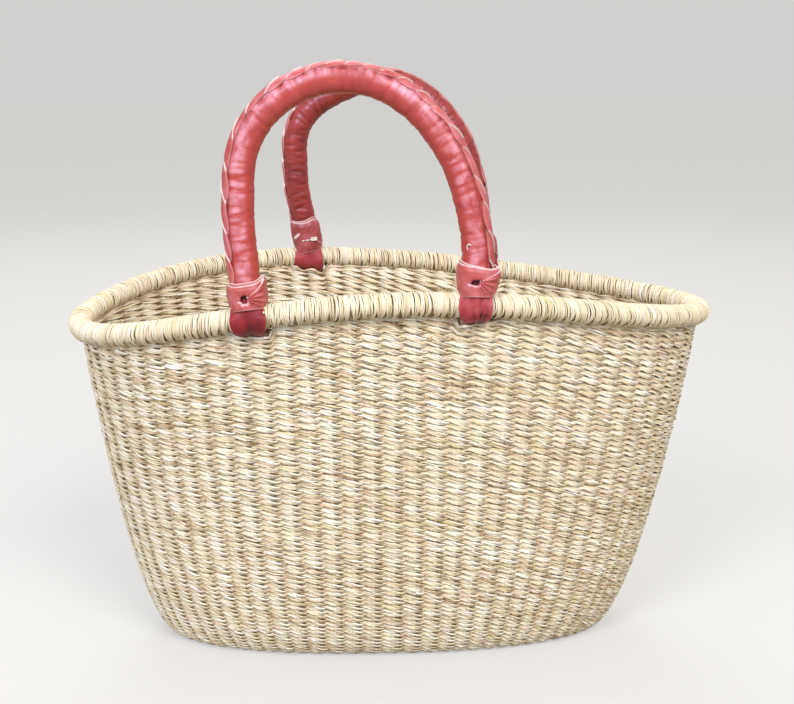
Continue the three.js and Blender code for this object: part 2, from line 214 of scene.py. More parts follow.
def toned_colour(
    tree: NodeTree, noise: NodeSocket, mix: float, middle: float, tone: NodeSocket, stops: Stops,
) -> NodeSocket:
    """Reads a colour from the tone stored on a mesh, made uneven by a noise.

    Args:
        tree: the node tree.
        noise: the noise, of about 0.5 on the average.
        mix: how far the noise moves the tone.
        middle: what is taken off again, about half of mix.
        tone: the stored tone.
        stops: place from 0 to 1 and sRGB hex colour of each stop.

    Returns:
        The colour.
    """
    moved = add_node(tree, "ShaderNodeMath", {0: noise, 1: mix, 2: tone},
                     operation="MULTIPLY_ADD")
    level = add_node(tree, "ShaderNodeMath", {0: moved.outputs["Value"], 1: middle},
                     operation="SUBTRACT")
    ramp = add_node(tree, "ShaderNodeValToRGB", {"Fac": level.outputs["Value"]})
    set_ramp(ramp, stops)
    return ramp.outputs["Color"]


def new_material(name: str) -> tuple[Material, NodeTree, Node]:
    """Starts a node material.

    Args:
        name: the material's name.

    Returns:
        The material, its node tree and its shader node, linked to the output.
    """
    material = bpy.data.materials.new(name)
    material.use_nodes = True
    tree = material.node_tree
    tree.nodes.clear()
    shader = add_node(tree, "ShaderNodeBsdfPrincipled")
    add_node(tree, "ShaderNodeOutputMaterial", {"Surface": shader.outputs["BSDF"]})
    return material, tree, shader


@dataclass(frozen=True)
class StrawFinish:
    """Dried grass straw, twisted by hand.

    Each straw's tone and cast come from the lot stored on its mesh: random, with painted shade
    added in places.
    """

    name: str = "dried_grass_straw_twined"
    # Cream to brown, as the dry stems of one harvest differ from each other.
    tones: Stops = (
        (0.0, "7a6044"), (0.12, "a58a68"), (0.26, "c6b18f"), (0.42, "d9c9aa"),
        (0.58, "e5d9c0"), (0.72, "eee6d3"), (0.86, "f5f0e4"), (1.0, "fbf9f3"),
    )
    # Some stems dried greenish and some reddish.
    casts: Stops = (
        (0.0, "f0f0d0"), (0.30, "fbf8e8"), (0.62, "ffffff"), (0.85, "fdf2ee"), (1.0, "f0d8c6"),
    )
    # The stem's waxy skin gives a soft gloss.
    roughness: float = 0.40
    shine: float = 0.4
    # Fine streaks along the stem, in millimetres. The real fibres are about 0.1 mm wide, too
    # fine to show, so they are drawn 0.5 mm wide.
    fibre_width: float = 0.5
    fibre_length: float = 14.0
    fibre_mix: float = 0.60
    fibre_depth: float = 0.3
    bump: float = 0.35

    def material(self) -> Material:
        """Makes the material. Its UV map counts millimetres along and round each straw.

        Returns:
            The material.
        """
        material, tree, shader = new_material(self.name)
        lot = add_node(tree, "ShaderNodeAttribute", attribute_name=LOT_ATTRIBUTE)
        parts = add_node(tree, "ShaderNodeSeparateColor", {"Color": lot.outputs["Color"]})
        uv = add_node(tree, "ShaderNodeUVMap")
        stretch = add_node(tree, "ShaderNodeMapping", {
            "Vector": uv.outputs["UV"],
            "Scale": (1.0 / self.fibre_length, 1.0 / self.fibre_width, 1.0),
        })
        fibres = add_node(tree, "ShaderNodeTexNoise", {
            "Vector": stretch.outputs["Vector"], "Scale": 1.0, "Detail": 3.0, "Roughness": 0.6,
        })
        tone = toned_colour(tree, fibres.outputs["Fac"], self.fibre_mix, 0.5 * self.fibre_mix,
                            parts.outputs["Red"], self.tones)
        cast = add_node(tree, "ShaderNodeValToRGB", {"Fac": parts.outputs["Green"]})
        set_ramp(cast, self.casts)
        colour = add_node(tree, "ShaderNodeMix", {
            "Factor": 1.0, 6: tone, 7: cast.outputs["Color"],
        }, data_type="RGBA", blend_type="MULTIPLY")
        relief = add_node(tree, "ShaderNodeBump", {
            "Height": fibres.outputs["Fac"], "Strength": self.bump,
            "Distance": self.fibre_depth * MM,
        })
        set_inputs(tree, shader, {
            "Base Color": colour.outputs[2], "Normal": relief.outputs["Normal"],
            "Roughness": self.roughness, "Specular IOR Level": self.shine,
        })
        return material


@dataclass(frozen=True)
class LeatherFinish:
    """Thin goat leather, dyed red and drawn on wet.

    The tint stored on each mesh gives its raw edges, its tone with painted shade, and its pale
    bloom, mostly painted sheen.
    """

    name: str
    # From the dark of a crease to the light of a worn crest.
    tones: Stops
    # A cut edge shows the undyed inside of the hide.
    raw: str = "ecd6d4"
    # A pale pink bloom on the crests: painted sheen, partly also the wax's own bloom.
    bloom: str = "f2b6cc"
    bloom_strength: float = 0.62
    # The waxed grain shines softly and coolly, under a thin coat of wax.
    gloss: str = "e6deff"
    shine: float = 0.85
    roughness: float = 0.45
    coat: float = 0.15
    coat_roughness: float = 0.25
    # Cloudy patches of dye and the hide's grain, in millimetres. Real pores are about 0.2 mm,
    # too fine to show, so they are drawn 0.9 mm wide.
    patch_size: float = 9.0
    patch_mix: float = 0.55
    patch_middle: float = 0.28
    grain_size: float = 0.9
    grain_depth: float = 0.15
    bump: float = 0.25

    def material(self) -> Material:
        """Makes the material.

        Returns:
            The material.
        """
        material, tree, shader = new_material(self.name)
        place = add_node(tree, "ShaderNodeTexCoord").outputs["Object"]
        tint = add_node(tree, "ShaderNodeAttribute", attribute_name=TINT_ATTRIBUTE)
        parts = add_node(tree, "ShaderNodeSeparateColor", {"Color": tint.outputs["Color"]})
        patches = add_node(tree, "ShaderNodeTexNoise", {
            "Vector": place, "Scale": 1.0 / (self.patch_size * MM), "Detail": 4.0,
            "Roughness": 0.6,
        })
        grain = add_node(tree, "ShaderNodeTexNoise", {
            "Vector": place, "Scale": 1.0 / (self.grain_size * MM), "Detail": 3.0,
            "Roughness": 0.65,
        })
        tone = toned_colour(tree, patches.outputs["Fac"], self.patch_mix, self.patch_middle,
                            parts.outputs["Green"], self.tones)
        # The pale bloom mixed in here is mostly painted sheen.
        spots = add_node(tree, "ShaderNodeMapRange", {
            "Value": patches.outputs["Fac"], "From Min": 0.34, "From Max": 0.66,
            "To Max": self.bloom_strength,
        })
        bloom = add_node(tree, "ShaderNodeMath", {
            0: spots.outputs["Result"], 1: parts.outputs["Blue"],
        }, operation="MULTIPLY")
        with_bloom_and_sheen = add_node(tree, "ShaderNodeMix", {
            "Factor": bloom.outputs["Value"], 6: tone, 7: linear_colour(self.bloom),
        }, data_type="RGBA")
        colour = add_node(tree, "ShaderNodeMix", {
            "Factor": parts.outputs["Red"], 6: with_bloom_and_sheen.outputs[2], 7: linear_colour(self.raw),
        }, data_type="RGBA")
        relief = add_node(tree, "ShaderNodeBump", {
            "Height": grain.outputs["Fac"], "Strength": self.bump,
            "Distance": self.grain_depth * MM,
        })
        set_inputs(tree, shader, {
            "Base Color": colour.outputs[2], "Normal": relief.outputs["Normal"],
            "Roughness": self.roughness, "Specular IOR Level": self.shine,
            "Specular Tint": linear_colour(self.gloss), "Coat Weight": self.coat,
            "Coat Roughness": self.coat_roughness,
        })
        return material


@dataclass(frozen=True)
class PlainFinish:
    """One matte colour with a little unevenness, for cotton thread and for covered grass."""

    name: str
    dark: str
    light: str
    grain_size: float
    roughness: float

    def material(self) -> Material:
        """Makes the material.

        Returns:
            The material.
        """
        material, tree, shader = new_material(self.name)
        place = add_node(tree, "ShaderNodeTexCoord")
        grain = add_node(tree, "ShaderNodeTexNoise", {
            "Vector": place.outputs["Object"], "Scale": 1.0 / (self.grain_size * MM), "Detail": 2.0,
        })
        ramp = add_node(tree, "ShaderNodeValToRGB", {"Fac": grain.outputs["Fac"]})
        set_ramp(ramp, ((0.3, self.dark), (0.7, self.light)))
        set_inputs(tree, shader, {
            "Base Color": ramp.outputs["Color"], "Roughness": self.roughness,
        })
        return material


# The sleeve is stretched round the arch, and has the lightest tones and the most gloss.
SLEEVE_LEATHER = LeatherFinish(
    name="dyed_goat_leather_sleeve",
    tones=((0.0, "60160e"), (0.25, "902a1d"), (0.5, "b03c2d"), (0.75, "c04e3c"), (1.0, "d0624e")),
)
# The seam's flaps are a thinner skin, with tones a little warmer than the sleeve's.
SEAM_LEATHER = LeatherFinish(
    name="dyed_goat_leather_seam", bloom_strength=0.35,
    tones=((0.0, "62150f"), (0.25, "942e1e"), (0.5, "b44030"), (0.75, "c45340"), (1.0, "d46852")),
)
# The straps round the rim are folded, with dark tones and little gloss.
BOOT_LEATHER = LeatherFinish(
    name="dyed_goat_leather_strap", bloom_strength=0.25, shine=0.5, coat=0.04, roughness=0.55,
    tones=((0.0, "440a0a"), (0.25, "6c1614"), (0.5, "94221f"), (0.75, "a83029"), (1.0, "b84036")),
)
# The bands and their tails are the same thick strap, with tones lighter than the loops.
BAND_LEATHER = LeatherFinish(
    name="dyed_goat_leather_band", bloom_strength=0.3,
    tones=((0.0, "5c1711"), (0.25, "8a2d23"), (0.5, "ab4034"), (0.75, "ba5042"), (1.0, "c96453")),
)
# Spun cotton and loose grass scatter the light, with grain at the size of a yarn or a stem.
COTTON_THREAD = PlainFinish("cotton_thread", "d8cfc4", "f6f1ea", 0.6, 0.85)
GRASS_BUNDLE = PlainFinish("dry_grass_bundle", "967c50", "c4a97a", 1.5, 0.8)


@dataclass(frozen=True)
class FloorFinish:
    """Plain matte studio floor. The camera sees it a little paler than it is lit."""

    name: str = "pale_matte_floor"
    colour: str = "a3a2a0"
    seen_colour: str = "e2e1df"
    lift: float = 0.52
    roughness: float = 0.9

    def material(self) -> Material:
        """Makes the material.

        Returns:
            The material.
        """
        material, tree, shader = new_material(self.name)
        path = add_node(tree, "ShaderNodeLightPath")
        seen = add_node(tree, "ShaderNodeMath", {
            0: path.outputs["Is Camera Ray"], 1: self.lift,
        }, operation="MULTIPLY")
        set_inputs(tree, shader, {
            "Base Color": linear_colour(self.colour), "Roughness": self.roughness,
            "Emission Color": linear_colour(self.seen_colour),
            "Emission Strength": seen.outputs["Value"],
        })
        return material


# Basket shape


@dataclass(frozen=True)
class RimLine:
    """Centreline of the rim roll by its turn angle, in millimetres."""

    half_length: float = 206.5
    half_depth: float = 100.4
    side_flatness: float = 2.4
    end_roundness: float = 1.62
    end_difference: float = 0.15
    height: float = 233.2
    saddle: float = 12.0
    end_tilt: float = 0.7
    rear_rise: float = 1.7
    threefold: float = 1.8
    fourfold: float = 0.6
    corner_twist: float = 4.8
    side_twist: float = 2.5
    roll_radius: float = 7.5
    angle_step: float = 0.02

    def point(self, angle: Array) -> Array:
        """Points of the centreline at turn angles.

        Args:
            angle: turn angles.

        Returns:
            The points.
        """
        c, s = np.cos(angle), np.sin(angle)
        roundness = self.end_roundness + self.end_difference * c
        reach = np.maximum(0.0, 1.0 - np.abs(c) ** self.side_flatness) ** (1.0 / roundness)
        height = (
            self.height - self.saddle * np.cos(2 * angle) + self.end_tilt * c
            + self.rear_rise * s + self.threefold * np.cos(3 * angle)
            + self.fourfold * np.cos(4 * angle) - self.corner_twist * np.sin(2 * angle)
            + self.side_twist * np.sin(3 * angle)
        )
        return np.stack([self.half_length * c, self.half_depth * np.sign(s) * reach, height], -1)

    def outward(self, angle: Array) -> Array:
        """Level directions out of the basket at turn angles."""
        ahead = self.point(angle + self.angle_step) - self.point(angle - self.angle_step)
        return unit(np.stack([ahead[..., 1], -ahead[..., 0], np.zeros_like(angle)], -1))


@dataclass(frozen=True)
class WovenForm:
    """Middle surface of the weave, base and wall, in millimetres.

    The row coordinate runs from 0 at the base's spine to 1 at its edge, and to 2 under the roll.
    """

    rim: RimLine = RimLine()
    thickness: float = 5.0
    inset: float = 0.3
    gap: float = 0.3
    base_half_length: float = 147.8
    base_half_depth: float = 49.5
    base_flatness: float = 2.3
    base_shift: float = -4.3
    spine_half_length: float = 98.0
    base_turn: float = 26.5
    side_lean: float = 0.123
    end_lean: float = 0.118
    upper_stretch: float = 0.215
    angles: int = 1440
    base_rows: int = 16
    wall_rows: int = 96
    section_steps: int = 400

    def oval(self, angle: Array, half_length: float, half_depth: float) -> Array:
        """Points of an oval of the base's shape.

        Args:
            angle: turn angles.
            half_length: its half size along X.
            half_depth: its half size along Y.

        Returns:
            The points, at height 0.
        """
        power = 2.0 / self.base_flatness
        x = half_length * signed_power(np.cos(angle), power) + self.base_shift
        y = half_depth * signed_power(np.sin(angle), power)
        return np.stack([x, y, np.zeros_like(x)], -1)

    def base_edge(self, angle: Array) -> Array:
        """Outline of the base at turn angles."""
        return self.oval(angle, self.base_half_length, self.base_half_depth)

    def spine(self, angle: Array) -> Array:
        """Line along the middle of the base from which the stakes start."""
        return self.oval(angle, self.spine_half_length, 0.0)

    def wall(self, angle: Array) -> Array:
        """Sections of the wall's middle, evenly spaced by length.

        Args:
            angle: turn angles.

        Returns:
            Points by turn angle and by step up the wall.
        """
        foot = self.base_edge(angle)
        top = self.rim.point(angle) - self.inset * self.rim.outward(angle)
        top[:, 2] -= self.rim.roll_radius + self.gap
        out = top - foot
        out[:, 2] = 0.0
        reach = np.linalg.norm(out, axis=-1)
        out = unit(out)
        share = (top[:, 0] / self.rim.half_length) ** 2
        lean = self.side_lean + (self.end_lean - self.side_lean) * share
        height = top[:, 2]
        zero = np.zeros_like(reach)
        corners = (
            (zero, zero), (zero + self.base_turn, zero),
            (reach - lean * self.upper_stretch * height, height * (1.0 - self.upper_stretch)),
            (reach, height),
        )
        a, b, c, d = (np.stack(corner, -1)[:, None, :] for corner in corners)
        t = np.linspace(0.0, 1.0, self.section_steps)[None, :, None]
        place = ((1 - t) ** 3 * a + 3 * (1 - t) ** 2 * t * b
                 + 3 * (1 - t) * t ** 2 * c + t ** 3 * d)
        along = unit(3 * (1 - t) ** 2 * (b - a) + 6 * (1 - t) * t * (c - b)
                     + 3 * t ** 2 * (d - c))
        depth = 0.5 * self.thickness
        place = np.stack([place[..., 0] - along[..., 1] * depth,
                          place[..., 1] + along[..., 0] * depth], -1)
        steps = np.linalg.norm(np.diff(place, axis=1), axis=-1)
        length = np.concatenate([np.zeros((len(angle), 1)), np.cumsum(steps, axis=1)], axis=1)
        even = np.linspace(0.0, 1.0, self.wall_rows + 1)
        rows = np.empty((len(angle), len(even), 3))
        for i in range(len(angle)):
            at = even * length[i, -1]
            far = np.interp(at, length[i], place[i, :, 0])
            rows[i] = foot[i] + far[:, None] * out[i]
            rows[i, :, 2] = np.interp(at, length[i], place[i, :, 1])
        return rows


class WovenSurface:
    """The weave's middle surface as a fine grid that any place can be read from."""

    def __init__(self, form: WovenForm) -> None:
        """Works out the grid.

        Args:
            form: the sizes of the base and the wall.
        """
        self.form = form
        self.angle = np.linspace(0.0, FULL_TURN, form.angles, endpoint=False) + FIRST_ANGLE
        share = np.linspace(0.0, 1.0, form.base_rows, endpoint=False)[None, :, None]
        spine = form.spine(self.angle)[:, None, :]
        edge = form.base_edge(self.angle)[:, None, :]
        base = spine + (edge - spine) * share
        base[..., 2] = 0.5 * form.thickness
        wall = form.wall(self.angle)
        self.points = np.concatenate([base, wall], axis=1)
        self.rows = np.concatenate([
            np.linspace(0.0, 1.0, form.base_rows, endpoint=False),
            np.linspace(1.0, 2.0, form.wall_rows + 1),
        ])
        self.wall_length = np.linalg.norm(np.diff(wall, axis=1), axis=-1).sum(axis=1).mean()
        course = np.roll(self.points, -1, axis=0) - np.roll(self.points, 1, axis=0)
        rise = np.gradient(self.points, axis=1)
        self.course = unit(course)
        self.outward = unit(np.cross(self.course, unit(rise)))
        self.rise = unit(np.cross(self.outward, self.course))
        middle = self.points[:, form.base_rows + form.wall_rows // 2]
        self.girth = length_along(np.append(middle, middle[:1], axis=0))

    def angle_at(self, turn: Array) -> Array:
        """Turn angles of places that lie evenly round the middle of the wall.

        Args:
            turn: shares of one round.

        Returns:
            Turn angles.
        """
        whole = np.floor(turn)
        angles = np.append(self.angle, self.angle[0] + FULL_TURN)
        return np.interp((turn - whole) * self.girth[-1], self.girth, angles) + whole * FULL_TURN

    def read(self, angle: Array, row: Array) -> tuple[Array, Array, Array]:
        """Reads the surface at places given by turn angle and row coordinate.

        Args:
            angle: turn angles.
            row: row coordinates, from 0 to 2.

        Returns:
            Points, outward directions and directions up the rows.
        """
        step = FULL_TURN / self.form.angles
        column = (angle - self.angle[0]) / step
        left = np.floor(column).astype(int)
        fx = (column - left)[..., None]
        left %= self.form.angles
        right = (left + 1) % self.form.angles
        place = np.interp(row, self.rows, np.arange(len(self.rows)))
        low = np.minimum(np.floor(place).astype(int), len(self.rows) - 2)
        fy = (place - low)[..., None]
        found = []
        for grid in (self.points, self.outward, self.rise):
            lower = grid[left, low] * (1 - fx) + grid[right, low] * fx
            upper = grid[left, low + 1] * (1 - fx) + grid[right, low + 1] * fx
            found.append(lower * (1 - fy) + upper * fy)
        return found[0], unit(found[1]), unit(found[2])


# Straw geometry


class StrawBundle:
    """Gathers thin tubes of straw and makes one mesh of them.

    Each tube is a row of rings with the same number of corners. In the UV map the tubes lie
    strip_shift apart, so that no two straws show the same fibres.
    """

    strip_shift = 37.0

    def __init__(self, corners: int = 4) -> None:
        """Starts an empty bundle.

        Args:
            corners: the number of corners of every ring.
        """
        self.corners = corners
        self.points: list[Array] = []
        self.faces: list[Array] = []
        self.uvs: list[Array] = []
        self.lots: list[Array] = []
        self.count = 0

    def add(
        self, centre: Array, side: Array, front: Array, half_side: Values, half_front: Values,
        lot: Array | Sequence[float], closed: bool,
    ) -> None:
        """Adds one tube.

        Args:
            centre: points of its centreline, in millimetres.
            side: directions of the section's first axis.
            front: directions of the section's second axis.
            half_side: half sizes along the first axis.
            half_front: half sizes along the second axis.
            lot: three tones, random and with painted shade in places, for the whole tube or per
                point.
            closed: whether its end joins its start.
        """
        n, k = len(centre), self.corners
        half_side, half_front = (np.broadcast_to(half, n) for half in (half_side, half_front))
        turn = FULL_TURN * np.arange(k) / k
        a = half_side[:, None, None] * np.cos(turn)[None, :, None] * side[:, None, :]
        b = half_front[:, None, None] * np.sin(turn)[None, :, None] * front[:, None, :]
        rings = centre[:, None, :] + a + b
        last = n if closed else n - 1
        i, j = np.meshgrid(np.arange(last), np.arange(k), indexing="ij")
        ahead, right = (i + 1) % n, (j + 1) % k
        quads = np.stack([i * k + j, i * k + right, ahead * k + right, ahead * k + j], -1)
        run = length_along(np.append(centre, centre[:1], axis=0))
        girth = FULL_TURN * 0.5 * float(np.mean(half_side + half_front)) / k
        start = self.strip_shift * len(self.points)
        u0, u1 = run[i], run[i + 1]
        v0, v1 = start + girth * j, start + girth * (j + 1)
        corners = (u0, v0), (u0, v1), (u1, v1), (u1, v0)
        uv = np.stack([np.stack(corner, -1) for corner in corners], -2)
        quads, uv = quads.reshape(-1, 4), uv.reshape(-1, 4, 2)
        if not closed:
            cap = np.array([(0, at, at + 1, at + 2) for at in range(1, k - 2, 2)])
            quads = np.concatenate([quads, cap[:, ::-1], (n - 1) * k + cap])
            uv = np.concatenate([uv, np.full((2 * len(cap), 4, 2), start)])
        self.points.append(rings.reshape(-1, 3))
        self.faces.append(quads + self.count)
        self.uvs.append(uv)
        self.lots.append(np.repeat(np.broadcast_to(lot, (n, 3)), k, axis=0))
        self.count += n * k

    def build(self, name: str) -> Object:
        """Makes the mesh object.

        Args:
            name: the piece's name.

        Returns:
            The object, at the origin.
        """
        points = np.concatenate(self.points) * MM
        faces = np.concatenate(self.faces)
        mesh = bpy.data.meshes.new(name)
        mesh.vertices.add(len(points))
        mesh.vertices.foreach_set("co", points.astype(np.float32).ravel())
        mesh.loops.add(faces.size)
        mesh.loops.foreach_set("vertex_index", faces.astype(np.int32).ravel())
        mesh.polygons.add(len(faces))
        starts = np.arange(0, faces.size, 4, dtype=np.int32)
        mesh.polygons.foreach_set("loop_start", starts)
        mesh.polygons.foreach_set("use_smooth", np.ones(len(faces), bool))
        mesh.update(calc_edges=True)
        layer = mesh.uv_layers.new(name="UVMap")
        layer.data.foreach_set("uv", np.concatenate(self.uvs).astype(np.float32).ravel())
        lots = np.concatenate(self.lots)
        colours = np.concatenate([lots, np.ones((len(lots), 1))], axis=1)
        attribute = mesh.color_attributes.new(LOT_ATTRIBUTE, "FLOAT_COLOR", "POINT")
        attribute.data.foreach_set("color", colours.astype(np.float32).ravel())
        piece = bpy.data.objects.new(name, mesh)
        bpy.context.scene.collection.objects.link(piece)
        return piece


@dataclass
class TwinedWeave:
    """Rows of two-strand twining over upright stakes, each strand of three straws.

    A strand swings out over one stake and in behind the next, and its floats slope. The slope,
    the wander, and the straws' gap and height are shares of a course's height. The splices'
    lengths, the swing, the stakes and the passages are in millimetres.
    """

    surface: WovenSurface
    stakes: int = 68
    samples: int = 5
    base_courses: int = 13
    first_course: float = 0.62
    low_pitch: float = 3.2
    high_pitch: float = 4.05
    swing: float = 1.35
    swing_power: float = 0.75
    slope: float = 0.44
    roll: float = 0.7
    slow_wander: float = 0.07
    quick_wander: float = 0.05
    stake_wander: float = 0.15
    looseness: float = 0.09
    twist_spread: float = 0.25
    width_spread: float = 0.22
    depth_spread: float = 0.10
    bunching: float = 0.20
    float_tone: float = 0.05
    painted_crossing_shade: float = 0.22
    lot_middle: Triple = (0.60, 0.55, 0.50)
    lot_spread: Triple = (0.19, 0.20, 0.20)
    new_straw_chance: float = 0.16
    straw_share: float = 0.62
    float_share: float = 0.55
    painted_shade_lot: Triple = (0.04, 0.6, 0.5)
    straw_gap: float = 0.33
    straw_height: float = 0.24
    straw_depth: float = 0.82
    core_height: float = 0.16
    core_depth: float = 0.4
    stake_half_width: float = 2.0
    stake_half_depth: float = 0.7
    stake_rows: int = 66
    stake_tip: float = 6.0
    top_course: float = 0.75
    splices: int = 150
    splice_straws: int = 4
    splice_length: float = 1.9
    splice_radius: float = 0.32
    splice_shape: tuple[float, ...] = (0.7, 1.0, 1.0, 0.5)
    splice_lift: float = 0.75
    splice_drop: float = 0.35
    courses_per_piece: int = 11
    passages: list[tuple[Array, Array, float]] = field(default_factory=list)
    passage_radius: float = 11.8
    passage_flare: float = 0.2
    passage_fade: float = 3.0
    passage_from: float = 8.6
    passage_to: float = 25.0
    stake_start: float = 0.03
    stake_end: float = 1.995
    wall_start: float = 1.05
    lean_seeds: tuple[int, int] = (7, 8)
    seed: int = 20

    def course_rows(self) -> tuple[Array, Array]:
        """Places of all courses, from the base's spine up.

        Returns:
            The row coordinate of each course, and its height in millimetres.
        """
        length = self.surface.wall_length
        growth = (self.high_pitch - self.low_pitch) / length
        bottom = self.low_pitch + growth * 0.5 * self.low_pitch
        top = self.low_pitch + growth * length
        count = round(math.log(top / bottom) / growth)
        step = np.arange(count + 1) / count
        run = (bottom * (top / bottom) ** step - self.low_pitch) / growth
        wall = 1.0 + run / length
        pitch = self.low_pitch + growth * run
        base_pitch = self.surface.form.base_half_depth / self.base_courses
        base = (np.arange(self.base_courses) + self.first_course) / self.base_courses
        rows = np.concatenate([base, wall])
        return rows, np.concatenate([np.full(len(base), base_pitch), pitch])

    def stake_lean(self, turns: Array, row: Values) -> Array:
        """How far the stakes stand from even places, as a share of their distance.

        Args:
            turns: places round the basket, as shares of one turn.
            row: row coordinates.

        Returns:
            The shift at each place.
        """
        low, high = (ring_noise(np.random.default_rng(seed), turns, waves=16, roughness=0.9)
                     for seed in self.lean_seeds)
        share = np.clip(np.asarray(row) - 1.0, 0.0, 1.0)
        return self.stake_wander * (low * (1.0 - share) + high * share)

    def float_lots(self, rng: Random, count: int) -> Array:
        """Random lots of the floats of one straw, which keeps its look until the next begins.

        Args:
            rng: source of seeded random numbers.
            count: the number of floats in the row.

        Returns:
            Three values from 0 to 1 for each float.
        """
        lots = np.empty((count, 3))
        level = rng.normal(0.0, 1.0, 3)
        for i in range(count):
            if rng.random() < self.new_straw_chance:
                level = rng.normal(0.0, 1.0, 3)
            lots[i] = self.straw_share * level + self.float_share * rng.normal(0.0, 1.0, 3)
        lots = np.array(self.lot_middle) + np.array(self.lot_spread) * lots
        return np.clip(lots, 0.0, 1.0)

    def add_course(
        self, bundle: StrawBundle, row: float, pitch: float, rng: Random, above: float = 0.0,
    ) -> None:
        """Adds the two strands of one course, and the dark straw that shows between them.

        Args:
            bundle: what takes the straws.
            row: the course's row coordinate.
            pitch: the height of the course.
            rng: source of seeded random numbers.
            above: how far it lies above its row.
        """
        count = self.stakes * self.samples
        place = np.arange(count) / self.samples
        turns = place / self.stakes
        lap = np.floor(place + 0.5).astype(int) % self.stakes
        wander = pitch * (self.slow_wander * ring_noise(rng, turns, waves=9, roughness=0.85)
                          + self.quick_wander * ring_noise(rng, turns, waves=40, roughness=0.99))
        angle = self.surface.angle_at(turns + self.stake_lean(turns, row) / self.stakes)
        per_row = self.surface.wall_length if row > 1.0 else self.surface.form.base_half_depth
        for strand in range(2):
            # At phase 0 a strand lies outside a stake, and half a wave on behind the next one.
            phase = math.pi * (place + strand)
            loose = 1.0 + rng.normal(0.0, self.looseness, self.stakes)[lap] * np.cos(phase) ** 2
            tilt = np.arcsin(np.clip(np.sin(phase), -1.0, 1.0)) / (0.5 * math.pi)
            lift = -self.slope * pitch * tilt + wander
            centre, outward, rise = self.surface.read(angle, row + lift / per_row)
            bulge = self.swing * signed_power(np.cos(phase), self.swing_power) * (0.5 + 0.5 * loose)
            centre = centre + bulge[:, None] * outward + above * rise
            twist = self.twist_spread * ring_noise(rng, turns, waves=24, roughness=0.97)
            twist = self.roll * np.sin(phase) + twist
            side = np.cos(twist)[:, None] * rise + np.sin(twist)[:, None] * outward
            across = np.cos(twist)[:, None] * outward - np.sin(twist)[:, None] * rise
            # Between two stakes the strands cross and are squeezed together; painted shade darkens
            # them there.
            bunch = 1.0 - self.bunching * np.sin(phase) ** 2
            shade = self.float_tone - self.painted_crossing_shade * np.sin(phase) ** 6
            for straw in (-1.0, 0.0, 1.0):
                lots = self.float_lots(rng, self.stakes)[lap]
                lots[:, 0] = np.clip(lots[:, 0] + shade, 0.0, 1.0)
                wide = 1.0 + self.width_spread * ring_noise(rng, turns, waves=20, roughness=0.97)
                wide = pitch * self.straw_height * loose * bunch * wide
                shift = self.width_spread * ring_noise(rng, turns, waves=20, roughness=0.97)
                shift = straw + shift
                middle = centre + (shift * self.straw_gap * pitch * bunch)[:, None] * side
                deep = 1.0 + self.depth_spread * ring_noise(rng, turns, waves=30, roughness=0.98)
                deep = self.straw_depth * bunch * deep
                bundle.add(self.part(middle), side, across, wide, deep, lots, closed=True)
        # One thin dark straw behind both strands is painted shade: it stands for the shade that the
        # gaps between them show.
        inner = slice(0, count, 4)
        centre, outward, rise = self.surface.read(angle[inner], row + wander[inner] / per_row)
        bundle.add(self.part(centre + above * rise), rise, outward, self.core_height * pitch,
                   self.core_depth, self.painted_shade_lot, closed=True)

    def part(self, points: Array) -> Array:
        """Moves points of the weave off the loops that pass through it, and off the floor.

        Args:
            points: places in the weave, in millimetres.

        Returns:
            The places with the passages left free.
        """
        moved = points.copy()
        for foot, axis, half_width in self.passages:
            arm = moved - foot
            along = arm @ axis
            away = arm - along[:, None] * axis
            reach = np.linalg.norm(away, axis=-1)
            share = (reach - self.passage_from) / (self.passage_to - self.passage_from)
            share = np.clip(share, 0.0, 1.0)
            least = self.passage_radius + self.passage_flare * (along / half_width) ** 2
            wanted = least + share * (self.passage_to - least)
            near = 1.0 - smooth_step(np.abs(along), half_width, half_width + self.passage_fade)
            push = np.where(reach < self.passage_to, near * (wanted - reach), 0.0)
            moved += (push / np.maximum(reach, TINY))[:, None] * away
        moved[:, 2] = np.maximum(moved[:, 2], self.straw_depth)
        return moved

    def stake_piece(self) -> Object:
        """Makes the upright stakes, from the base's spine up into the roll.

        Returns:
            The piece.
        """
        rng = np.random.default_rng(self.seed + 1)
        bundle = StrawBundle()
        rows = np.linspace(self.stake_start, self.stake_end, self.stake_rows)
        for stake in range(self.stakes):
            turns = np.full(len(rows), stake / self.stakes)
            lean = self.stake_lean(turns, rows)
            turn = self.surface.angle_at(turns + lean / self.stakes)
            centre, outward, rise = self.surface.read(turn, rows)
            centre = np.concatenate([centre, [centre[-1] + self.stake_tip * rise[-1]]])
            outward = np.concatenate([outward, outward[-1:]])
            rise = np.concatenate([rise, rise[-1:]])
            narrow = 0.35 + 0.65 * smooth_step(np.append(rows, 2.0), 0.1, 1.0)
            # The stakes' dark brown tone is painted shade where they show between the strands.
            bundle.add(centre, np.cross(outward, rise), outward, self.stake_half_width * narrow,
                       self.stake_half_depth, (0.20 + 0.1 * rng.random(), 0.6, 0.5), closed=False)
        return bundle.build("woven_stakes")

